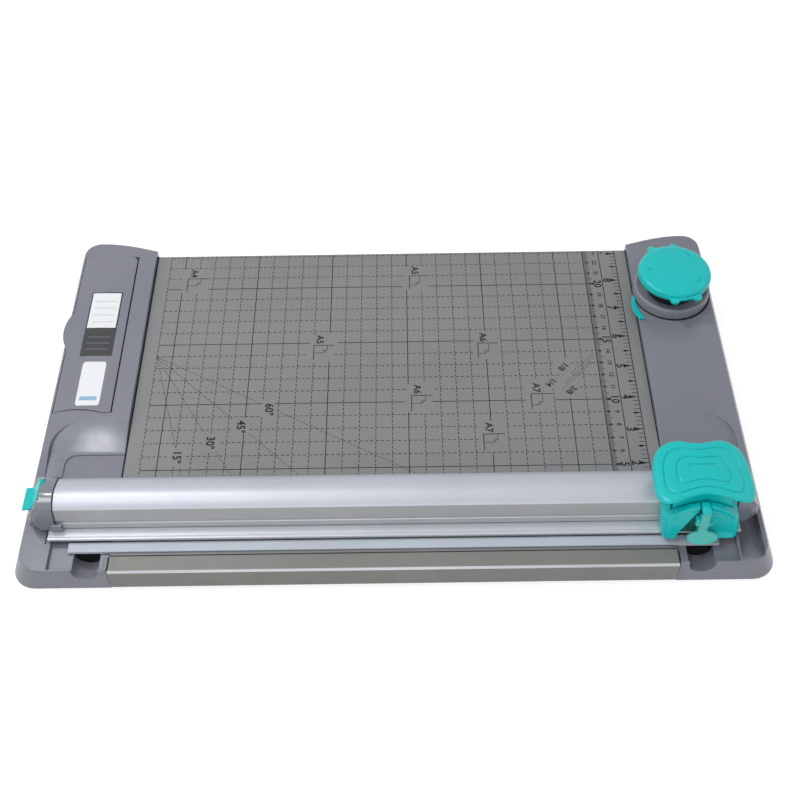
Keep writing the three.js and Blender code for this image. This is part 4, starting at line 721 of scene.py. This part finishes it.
def coil(name, node, wire, turns):
    """A compression spring in the space of its CAD solid, carried by that solid's body."""
    low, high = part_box(node)
    centre = ((low[0] + high[0]) / 2, (low[1] + high[1]) / 2)
    radius = (high[0] - low[0]) / 2 - wire * mm / 2
    bottom, top = low[2] + wire * mm / 2, high[2] - wire * mm / 2
    steps = turns * 28
    bm = bmesh.new()
    start = Matrix.Translation((centre[0] + radius, centre[1], bottom)) @ Matrix.Rotation(math.pi / 2, 4, "X")
    bmesh.ops.create_circle(bm, segments=8, radius=wire * mm / 2, matrix=start)
    bmesh.ops.spin(
        bm,
        geom=bm.edges[:],
        cent=(*centre, 0),
        axis=(0, 0, 1),
        dvec=(0, 0, (top - bottom) / steps),
        angle=turns * 2 * math.pi,
        steps=steps,
        use_merge=False,
    )
    capped(bm)
    made = new_piece(name, bm, spring_wire, body_of[node], [node])
    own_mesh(made)


for side in ("left", "right"):
    node = f"bar_spring_{side}"
    coil(f"{node}_wire", node, 0.6, 4)

# Cutting head: a teal ABS saddle that slides on the rail. Its front is arched, hollowed on both sides of
# the blade window, and carries the window in which the blade cartridge clips.

head_x, head_half = 171.75, 21.55
head_front, head_bottom, head_top = -5.6, 3.6, 30.0
head_lean, side_round, arch_drop = 3.4, 4.6, 12
well_half, well_front, well_back = 17.4, 1.9, 34.0


def at_head(x, y, z):
    """A point of the head's own frame, in mm: from its middle, from the cut line and from the deck."""
    return Vector(((head_x + x) * mm, (y + cut_line) * mm, (z + deck_top) * mm))


def in_head(point):
    """A point's place in the head's own frame, in mm."""
    return point.x / mm - head_x, point.y / mm - cut_line, point.z / mm - deck_top


def ridge_height(x):
    """Top of the front wall, an arch."""
    return head_top - arch_drop * (x / (head_half + 1.5)) ** 2


def ramp(value, start, end):
    """A smooth rise from nought at start to one at end."""
    share = min(1, max(0, (value - start) / (end - start)))
    return share * share * (3 - 2 * share)


def lean_at(z):
    """How far the front wall leans back at a height."""
    return head_lean * (z - head_bottom) / (head_top - head_bottom)


def right_shift(x):
    """How far the head narrows at x, on its right side only."""
    return 2.6 * max(0, x - 8) / (head_half - 8)


def front_depth(x, z):
    """Where the skin of the front wall lies: leaning, with round corners and a hollow inside its rim."""
    side = max(0, abs(x) - (head_half - side_round))
    corner = side_round - math.sqrt(max(0, side_round * side_round - side * side))
    below_rim = ramp(ridge_height(x) - z, 0.9, 4.5)
    from_side = ramp(head_half - abs(x), 1.6, 6.5)
    from_foot = ramp(z - head_bottom, 0.6, 3.5)
    hollow = (1.7 if x > 0 else 0.5) * below_rim * from_side * from_foot
    return head_front + lean_at(z) + corner + hollow


def slab(outline, front, back):
    """A solid of the outline, given in the head's x and z, from front to back."""
    bm = bmesh.new()
    face = bm.faces.new([bm.verts.new(at_head(x, front, z)) for x, z in outline])
    push_out(bm, [face], (0, back - front, 0))
    bmesh.ops.recalc_face_normals(bm, faces=bm.faces)
    return bm


def block(x0, x1, y0, y1, z0, z1):
    """A box between two values of each axis of the head's frame."""
    return slab([(x0, z0), (x1, z0), (x1, z1), (x0, z1)], y0, y1)


def carved(bm, steps, voxel, softening):
    """bm after a list of boolean steps with other meshes, as one even skin with softened edges."""
    work = meshed("work", bm)
    spares = []
    for operation, other in steps:
        spares.append(meshed("spare", other))
        step = work.modifiers.new("step", "BOOLEAN")
        step.operation = operation
        step.object = spares[-1]
    skin = work.modifiers.new("skin", "REMESH")
    skin.mode = "VOXEL"
    skin.voxel_size = voxel * mm
    soft = work.modifiers.new("soft", "SMOOTH")
    soft.factor = 0.5
    soft.iterations = softening
    flat = bpy.data.meshes.new_from_object(work.evaluated_get(bpy.context.evaluated_depsgraph_get()))
    made = bmesh.new()
    made.from_mesh(flat)
    for spare in [work, *spares]:
        bpy.data.objects.remove(spare)
    bpy.data.meshes.remove(flat)
    return made


beyond, ahead = 24, -9  # past the head's sides, and in front of everything on it
bm = merged_copy("head_body")
# the CAD's wall is taken away as far back as the new one leans
old_wall = block(-beyond, beyond, ahead, -2.4, head_bottom - 1, head_top + 2)
for vert in old_wall.verts:
    _, y, z = in_head(vert.co)
    if y > -5 and z > 20:
        vert.co.y += head_lean * mm

# the arched front wall, as a curved plate in place of the CAD's flat one
wall_thick, wall_back = 1.0, -2.0
wall = bmesh.new()
bmesh.ops.create_grid(wall, x_segments=56, y_segments=34, size=0.5)
for vert in wall.verts:
    x = vert.co.x * 2 * (head_half - 0.02)
    z = head_bottom + (ridge_height(x) - head_bottom) * (vert.co.y + 0.5)
    vert.co = at_head(x, front_depth(x, z), z)
for vert in push_out(wall, wall.faces[:]):
    lean = lean_at(in_head(vert.co)[2])
    back = min(lean + wall_back + 0.7 * ramp(lean, 2.2, 3.0), well_front - 0.3)
    vert.co.y = max(vert.co.y + wall_thick * mm, (cut_line + back) * mm)
bmesh.ops.recalc_face_normals(wall, faces=wall.faces)

# the side walls' tops fall towards the front to meet the arch
side_top = 27.9
falling = block(-beyond, beyond, ahead, 14, head_top - 1, 44)
bmesh.ops.subdivide_edges(falling, edges=falling.edges[:], cuts=15, use_grid_fill=True)
for vert in falling.verts:
    x, y, z = in_head(vert.co)
    if z < head_top - 0.5:
        level = ridge_height(x) + 0.02
        vert.co.z = (level + (max(level, side_top) - level) * ramp(y, 1.5, 13) + deck_top) * mm

# half of the blade window's outline, a bow from its top down to its foot
window_top, window_foot, window_wide, wide_at, window_steps = 28.2, 1.0, 14.2, 24.6, 12
window = []
for i in range(window_steps + 1):
    z = window_top - (window_top - window_foot) * i / window_steps
    window.append((window_wide * ((window_top - z) / wide_at) ** 0.75, z))
window_outline = [(-x, z) for x, z in window] + [(2.6, window_foot), (2.6, window_top)]
window_back = well_front + 0.1
head_steps = [
    ("DIFFERENCE", old_wall),
    ("UNION", wall),
    ("DIFFERENCE", falling),
    # the well for the pad's neck, the deeper slot for its front plate, the window, the notch for the hook
    ("DIFFERENCE", block(-well_half, well_half, well_front, well_back, 22.6, 40)),
    ("DIFFERENCE", block(-well_half, well_half, well_front, 4.4, 17, 40)),
    ("DIFFERENCE", slab(window_outline, ahead, window_back)),
    ("DIFFERENCE", block(-2.95, 2.95, ahead, window_back, 23.4, 34)),
]
head = carved(bm, head_steps, 0.5, 4)
flare_from, flare_to = 8, 27
for vert in head.verts:
    x, _, z = in_head(vert.co)
    left_shift = 1.3 * max(0, -x - 17) / (head_half - 17)
    vert.co.x -= (right_shift(x) + left_shift) * ramp(z, flare_from, flare_to) * mm
smoothed(head, 80)

# low ribs that run round the wheel's guard
rib_x, rib_z, rib_depth = 3.2, 13.2, -0.08
for radius in (7.6, 9.4, 11.6):
    rib = bmesh.new()
    start = Matrix.Translation(at_head(rib_x, 0, rib_z + radius)) @ Matrix.Rotation(math.pi / 2, 4, "Y")
    bmesh.ops.create_circle(rib, segments=8, radius=0.32 * mm, matrix=start)
    bmesh.ops.spin(
        rib,
        geom=rib.edges[:],
        cent=at_head(rib_x, 0, rib_z),
        axis=(0, 1, 0),
        angle=math.radians(78),
        steps=18,
        use_merge=False,
    )
    capped(rib)
    for vert in rib.verts:
        x, _, z = in_head(vert.co)
        vert.co.y += (front_depth(x, z) + rib_depth) * mm
        vert.co.x -= right_shift(x) * ramp(z, flare_from, flare_to) * mm
    smoothed(rib)
    teal(f"head_rib_{round(radius * 10)}", rib, "carriage")
teal("head_body_moulding", head, "carriage", ["head_body"])

# Blade cartridge: pressed into the head from the front, in a softer and duller teal than the head. Its
# key has a short cross bar and an oval thumb tab, by which it is turned and pulled out.

# polypropylene: a milky, duller teal beside the head's gloss
dull = (0.42, 0.55)
key_pp = moulded("dull_teal_polypropylene", "#4cbdb3", "#52c3b9", 1.0, 0.01, dull, 0.4, 0.2, "#9fe0da")
cheeks = [block(-12, -2.5, -4.7, -2.1, 5, 24.6), block(2.5, 12, -4.7, -2.1, 5, 24.6)]
key = carved(merged_copy("blade_cartridge"), [("DIFFERENCE", cheek) for cheek in cheeks], 0.4, 3)
smoothed(key, 80)
key = new_piece("blade_cartridge_key", key, key_pp, "press", ["blade_cartridge"])
key.data.materials.append(grip_abs)
# what lies behind the tab's face is as glossy as the head
tab_back = -3.4
for face in key.data.polygons:
    if face.center.y / mm - cut_line > tab_back:
        face.material_index = 1


def softened_block(x0, x1, y0, y1, z0, z1, round_by, steps=3):
    """A block of the head's frame with rounded edges."""
    bm = block(x0, x1, y0, y1, z0, z1)
    soften(bm, bm.edges[:], round_by, steps)
    smoothed(bm)
    return bm


hook = softened_block(-2.5, 2.5, -6.3, 1.2, 27.0, 30.6, 0.7)
cross_pin = softened_block(-5.0, 5.2, -5.6, -4.3, 18.4, 19.5, 0.4)
boss = softened_block(-4.6, -2.2, -6.2, -1.6, 18.8, 22.4, 1.0)
for part, bm in (("hook", hook), ("cross_pin", cross_pin), ("boss", boss)):
    teal(f"blade_cartridge_{part}", bm, "press", ["blade_cartridge"])
# a dark, dry teal plate behind the window's left part: painted shade, by which the window reads as a deep
# opening
window_shade_teal = moulded("dark_teal_painted_window_shade", "#0e5650", "#135f58", 0.8, 0.03, (0.5, 0.62), 0.25, 0.0)
shade_plate_edge, shade_plate_foot = -1.8, 6.9
bow = [(0.2 - x, max(z, shade_plate_foot)) for x, z in window[2:11]]
shade_plate = slab([(shade_plate_edge, 26.4), *bow, (shade_plate_edge, shade_plate_foot)], -2.5, -1.6)
new_piece("blade_cartridge_window_shade", shade_plate, window_shade_teal, "press", ["blade_cartridge"])
finish_node("blade_axle", bright_steel)
finish_node("cutting_wheel", bright_steel)

# Press pad: the thumb plate of the head, a saddle of glossy teal ABS with a thick rounded rim, two closed
# grooves and one short one that follow its outline, on a hollow neck that dips into the head.

pad_x, pad_y = 171.95, 18.2 + cut_line
pad_half, pad_deep = 27.4, 20.4
pad_rise, pad_droop = 38.0 + deck_top, 5.0
pad_thick = 2.6
groove_steps, short_groove = (5.4, 11.8), 16.9  # their distances from the rim
short_groove_shares = (0.27, 0.68)  # where it starts and ends, of a full turn
groove_depth, groove_half = 0.7, 0.62


def groove_dip(inward, step):
    """How deep a groove at step is, at a distance from the rim, as a share of its full depth."""
    return math.exp(-(((inward - step) / (groove_half * 0.55)) ** 2))


def pad_profile():
    """Distance from the rim in mm and height over the saddle, from the middle to the underside's middle."""
    marks = [pad_deep, 19.4]
    for step in (short_groove, *sorted(groove_steps, reverse=True)):
        marks += [step + groove_half * k for k in (1.7, 1.0, 0.5, 0.0, -0.5, -1.0, -1.7)]
        marks.append(step - 2.4)
    marks.append(1.1)
    top = [(mark, -groove_depth * sum(groove_dip(mark, step) for step in groove_steps)) for mark in marks]
    rim = []
    half = pad_thick / 2
    for i in range(7):
        turned_by = math.radians(75 - 25 * i)
        rim.append((half * (1 - math.cos(turned_by)), -half + half * math.sin(turned_by)))
    under = [(1.6, -pad_thick), (6, -pad_thick), (12, -pad_thick), (pad_deep, -pad_thick)]
    return top + rim + under


# of the half width and of the depth, from the middle of the front edge round to the middle of the back
half_outline_shares = [(0, 0.1), (0.3, 0.07), (0.56, 0.02), (0.78, 0), (0.92, 0.06), (1, 0.2), (1, 0.45)]
half_outline_shares += [(0.96, 0.7), (0.84, 0.9), (0.62, 0.99), (0.4, 1), (0.18, 0.96), (0, 0.945)]
outline_shares = half_outline_shares + [(-x, y) for x, y in half_outline_shares[-2:0:-1]]


def pad_outline(turn_share):
    """The rim at a share of a full turn from the front edge's middle, a smooth curve through the shares."""
    count = len(outline_shares)
    at = turn_share * count
    i = math.floor(at)
    t = at - i
    p0, p1, p2, p3 = (outline_shares[(i + k) % count] for k in (-1, 0, 1, 2))
    spot = []
    for a, b, c, d in zip(p0, p1, p2, p3):
        square = 2 * b + (c - a) * t + (2 * a - 5 * b + 4 * c - d) * t * t
        spot.append(0.5 * (square + (3 * b - a - 3 * c + d) * t * t * t))
    return spot


def spun(profile, middle, steps, closed=False):
    """A surface of revolution about an upright axis: radius and height of its profile, and middle, in mm."""
    bm = bmesh.new()
    corners = [bm.verts.new(((middle[0] + r) * mm, middle[1] * mm, height * mm)) for r, height in profile]
    for p, q in zip(corners, corners[1:] + (corners[:1] if closed else [])):
        bm.edges.new((p, q))
    bmesh.ops.spin(
        bm,
        geom=bm.verts[:] + bm.edges[:],
        cent=(middle[0] * mm, middle[1] * mm, 0),
        axis=(0, 0, 1),
        angle=2 * math.pi,
        steps=steps,
        use_merge=True,
    )
    return bm


# flat rings one millimetre apart, each then laid into its place on the saddle
profile = pad_profile()
bm = spun([(1 + i, 0) for i in range(len(profile))], (0, 0), 120)
core_half = 5.5
for vert in bm.verts:
    ring = round(math.hypot(vert.co.x, vert.co.y) / mm - 1)
    turn_share = (math.atan2(vert.co.y, vert.co.x) / (2 * math.pi)) % 1
    inward, height = profile[ring]
    x_share, y_share = pad_outline(turn_share)
    kept_share = 1 - inward / pad_deep
    core = core_half * math.sin(2 * math.pi * turn_share)
    across = core + (x_share * pad_half - core) * kept_share
    along = (y_share * 2 - 1) * pad_deep * kept_share
    saddle = pad_rise - pad_droop * (across / pad_half) ** 2
    if height > -pad_thick / 2 and short_groove_shares[0] < turn_share < short_groove_shares[1]:
        saddle -= groove_depth * groove_dip(inward, short_groove)
    vert.co = Vector(((pad_x + across) * mm, (pad_y + along) * mm, (saddle + height) * mm))
bmesh.ops.remove_doubles(bm, verts=bm.verts, dist=0.01 * mm)
turned_out(bm, 70)
teal("press_pad_saddle", bm, "press", ["press_pad"])

neck_half = well_half - 0.25
neck_front, neck_back = well_front + 0.2, 31.0
neck_steps = [
    ("UNION", block(-neck_half, neck_half, neck_front, neck_front + 1.8, 20.4, 27.4)),
    ("DIFFERENCE", block(-neck_half + 2, neck_half - 2, neck_front + 2.2, neck_back - 2, 20, 33)),
]
neck = carved(block(-neck_half, neck_half, neck_front, neck_back, 26.2, 34.5), neck_steps, 0.5, 3)
# its sides lean in with the head's, and its top grows up into the saddle
grow_from, grow_to, grow_by, into_saddle = 29.5, 34.5, 2.0, 1.5
for vert in neck.verts:
    x, y, height = in_head(vert.co)
    vert.co.x -= right_shift(x) * mm
    across = vert.co.x / mm - pad_x
    ceiling = pad_rise - pad_droop * (across / pad_half) ** 2 - into_saddle - deck_top
    if y < neck_front + 1:
        vert.co.y += 1.6 * ramp(height, 25, 33) * mm
    if height > grow_from:
        vert.co.z = (min(height + grow_by * ramp(height, grow_from, grow_to), ceiling) + deck_top) * mm
smoothed(neck, 80)
teal("press_pad_neck", neck, "press", ["press_pad"])

leg = softened_block(-11, 11, 4.2, 6.6, 8, 27.4, 0.45, 2)
teal("press_pad_leg", leg, "press", ["press_pad"])

coil("press_spring_wire", "press_spring", 0.8, 5)

# Storage lid: a crowned cover of the same grey ABS over the bay for spare cartridges, hinged on two pins
# along its inner edge, with a thumb tab at its outer edge. Two plain paper labels are stuck on it.

eased("storage_lid", case_abs, case_arris)


def printed_paper(name, ground):
    """Coated label paper: smooth, a little uneven, with fibres that show at its cut edge."""
    made = new_material(name)
    tree = made.node_tree
    fibre_scale = {"Scale": 1 / (1.5 * mm), "Detail": 5.0}
    fibre = add(tree, "TexNoise", fibre_scale, {"Vector": (add(tree, "TexCoord"), "Object")})
    share = add(tree, "MapRange", span(0.35, 0.65, 0.94, 1), {"Value": (fibre, "Fac")})
    colour = add(tree, "VectorMath", {"operation": "SCALE", 0: linear(ground)[:3]}, {"Scale": (share, 0)})
    rough = add(tree, "MapRange", span(0.3, 0.7, 0.32, 0.42), {"Value": (fibre, "Fac")})
    return coated(made, {"IOR": 1.5}, (colour, 0), (rough, 0), (fibre, "Fac"), 0.01, strength=0.4)


lid_inner, lid_outer = -(fence + 12.4), -(fence + 47.7)
lid_edge, lid_crown = deck_top + 4.0, 0.7


def lid_height(x):
    """Height of the crowned lid at x, in mm."""
    share = (x - lid_outer) / (lid_inner - lid_outer)
    return lid_edge + lid_crown * math.sin(math.pi * share)


def stuck_label(name, x0, x1, y0, y1, corner, material, lift=0.0, thick=0.12):
    """A label with rounded corners that lies on the crowned lid; x and y in mm of the frame."""
    bm = bmesh.new()
    middle = Matrix.Translation(((x0 + x1) / 2 * mm, (y0 + y1) / 2 * mm, 0))
    place = middle @ Matrix.Diagonal(((x1 - x0) * mm, (y1 - y0) * mm, 1, 1))
    bmesh.ops.create_grid(bm, x_segments=10, y_segments=1, size=0.5, matrix=place)
    soften(bm, [v for v in bm.verts if len(v.link_edges) == 2], corner, 5, "VERTICES")
    raised = set(push_out(bm, bm.faces[:]))
    for vert in bm.verts:
        bottom = lid_height(vert.co.x / mm) + lift
        vert.co.z = (bottom + (thick if vert in raised else -0.03)) * mm
    turned_out(bm)
    new_piece(name, bm, material, "lid")


# coated papers: a cool white, a black print, pale grey rules and a washed-out blue band
label_white = printed_paper("coated_white_label", "#eceef0")
label_black = printed_paper("black_printed_label", "#2b2c30")
label_line = printed_paper("grey_printed_rule", "#8d9196")
label_blue = printed_paper("pale_blue_printed_band", "#8fb6d2")
left, right, front, back = -198.2, -177.9, 26.4, 82.6
picture_edge, frame_width, margin, rule = 50.6, 0.9, 3, 0.3
field = (left + frame_width, right - frame_width, picture_edge, back - frame_width)
stuck_label("lid_label", left, right, front, back, 0.5, label_black)
stuck_label("lid_label_field", *field, 0.3, label_white, 0.1, 0.05)
for i in range(4):
    row = picture_edge + 5 + 6.2 * i
    line = (left + margin, right - margin, row, row + rule)
    stuck_label(f"lid_label_rule_{i + 1}", *line, 0.1, label_line, 0.14, 0.03)
for i in range(3):
    row = front + 5.5 + 5.2 * i
    line = (left + margin, right - margin, row, row + rule)
    stuck_label(f"lid_label_note_{i + 1}", *line, 0.1, label_line, 0.1, 0.03)
stuck_label("lid_sticker", -194.9, -180.1, -14.4, 21.3, 3.2, label_white)
stuck_label("lid_sticker_band", -192.9, -182.1, -10.4, -7.2, 0.9, label_blue, 0.1, 0.03)

# Corner rounder: a grey ABS turret on the right case. Inside it a die disc and a guide turn with three
# steel punches, and the domed teal knob on top is turned by its tabs and pushed down to cut.

# a paler copy of the cases' ABS whose arrises go nearly white: painted highlight along the turret's rim
turret_rim_highlight_abs = moulded("paler_grey_abs_with_painted_rim_highlight", "#83858e", "#878890", 0.6, 0.014, (0.27, 0.31), 0.32, 0.9, edge=0.8)
eased("rounder_turret", turret_rim_highlight_abs, 0.3, 40)
turret_low, turret_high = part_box("rounder_turret")
turret_radius = (turret_high[0] - turret_low[0]) / 2
# painted shade for the dark gap round the turret's foot: a thin black disc that shows a little more at the
# front right
shade_ring_wider, shade_ring_thick, shade_ring_sunk, shade_ring_off = 0.55, 0.3, 0.24, (0.35, -0.45)
bm = bmesh.new()
bmesh.ops.create_circle(bm, cap_ends=True, segments=96, radius=turret_radius + shade_ring_wider * mm)
push_out(bm, bm.faces[:], (0, 0, shade_ring_thick))
turret_middle = [(low + high) / 2 + off * mm for low, high, off in zip(turret_low, turret_high, shade_ring_off)]
shadow_gap = Matrix.Translation((*turret_middle, turret_low[2] - shade_ring_sunk * mm))
bmesh.ops.transform(bm, matrix=shadow_gap, verts=bm.verts)
turned_out(bm)
new_piece("turret_gap_shade_ring", bm, gap_shade_black, "base")
# the guide and plunger under the knob take the covers' black: painted shade for the dark below the knob
for node in ("rounder_guide", "rounder_plunger"):
    eased(node, black_abs_and_knob_shade, 0.25)
for node in ("rounder_die", "rounder_punch_1", "rounder_punch_2", "rounder_punch_3"):
    finish_node(node, bright_steel)
eased("rounder_lip", grip_abs, 0.2)
coil("rounder_spring_wire", "rounder_spring", 0.8, 4)

knob_middle = (183.5, 187.2 + cut_line)


def knob_turned(profile, steps, closed=False):
    """A skin turned about the knob's axis, from radii and heights over the deck."""
    bm = spun([(radius, deck_top + height) for radius, height in profile], knob_middle, steps, closed)
    bmesh.ops.remove_doubles(bm, verts=bm.verts, dist=0.01 * mm)
    return bm


# the cap: the bore of its stem and its hollow underside, then its rim, then its dome
under_profile = [(0.0, 22.2), (5.3, 22.2), (5.3, 17.5), (7.5, 17.5), (7.5, 22.2), (20.6, 22.0), (20.6, 19.5)]
rim_profile = [(20.8, 19.3), (22.9, 19.3), (23.2, 19.6), (23.2, 22.5), (23.05, 23.3), (22.6, 24.0)]
dome_profile = [(21.9, 24.5), (20.9, 24.83), (19.5, 25.02), (15.0, 25.28), (8.0, 25.48), (0.0, 25.52)]
cap = knob_turned(under_profile + rim_profile + dome_profile, 96)
turned_out(cap)

# two pairs of tabs on a thin flange; each pair is joined by a low wave
flange_profile = [(22.4, 20.0), (23.1, 20.0), (23.45, 20.35), (23.45, 21.85), (23.1, 22.2), (22.4, 22.2)]
flange_inside = 22.8
flange = knob_turned(flange_profile, 240, True)


def tab_bulge(angle):
    """How far the flange stands out of its round at an angle in degrees, in mm."""
    wave, wave_half = 0.8, 26
    tab, tab_off, tab_half = 3.2, 17.8, 6.6
    out = 0
    for half in (100.5, 280.5):
        off = abs((angle - half + 180) % 360 - 180)
        out += wave * math.exp(-((off / wave_half) ** 6))
        out += tab * math.exp(-(((off - tab_off) / tab_half) ** 4))
    return out


for vert in flange.verts:
    arm = Vector((vert.co.x - knob_middle[0] * mm, vert.co.y - knob_middle[1] * mm, 0))
    if arm.length > flange_inside * mm:
        vert.co += arm.normalized() * tab_bulge(math.degrees(math.atan2(arm.y, arm.x))) * mm
turned_out(flange)
teal("rounder_knob_tabs", flange, "corner_punch", ["rounder_knob"])
teal("rounder_knob_cap", cap, "corner_punch", ["rounder_knob"])

# raised marks on the knob: a quarter round and its two sides for each of the three corner sizes
mark_radius, mark_height, mark_width, mark_thick = 15.4, 25.26, 0.34, 0.26
marks = bmesh.new()


def knob_mark(bm, angle, size):
    """A small raised corner sign, size mm across its curve, at an angle round the knob."""
    path = [(-2.6, -2.2)]
    for turned_to in (0, 22.5, 45, 67.5, 90):
        a = math.radians(turned_to)
        path.append((2.2 - size + size * math.sin(a), -2.2 + size - size * math.cos(a)))
    path.append((2.2, 2.6))
    axis = Matrix.Translation(Vector((*knob_middle, deck_top + mark_height)) * mm)
    spot = axis @ Matrix.Rotation(math.radians(angle), 4, "Z") @ Matrix.Translation((mark_radius * mm, 0, 0))
    for p, q in zip(path, path[1:]):
        bmesh.ops.create_cube(bm, size=1, matrix=spot @ bar_between(p, q, mark_width, mark_thick, 0.25))


for angle, size in ((185, 1.2), (56, 2.2), (-38, 3.4)):
    knob_mark(marks, angle, size)
teal("rounder_knob_marks", marks, "corner_punch")
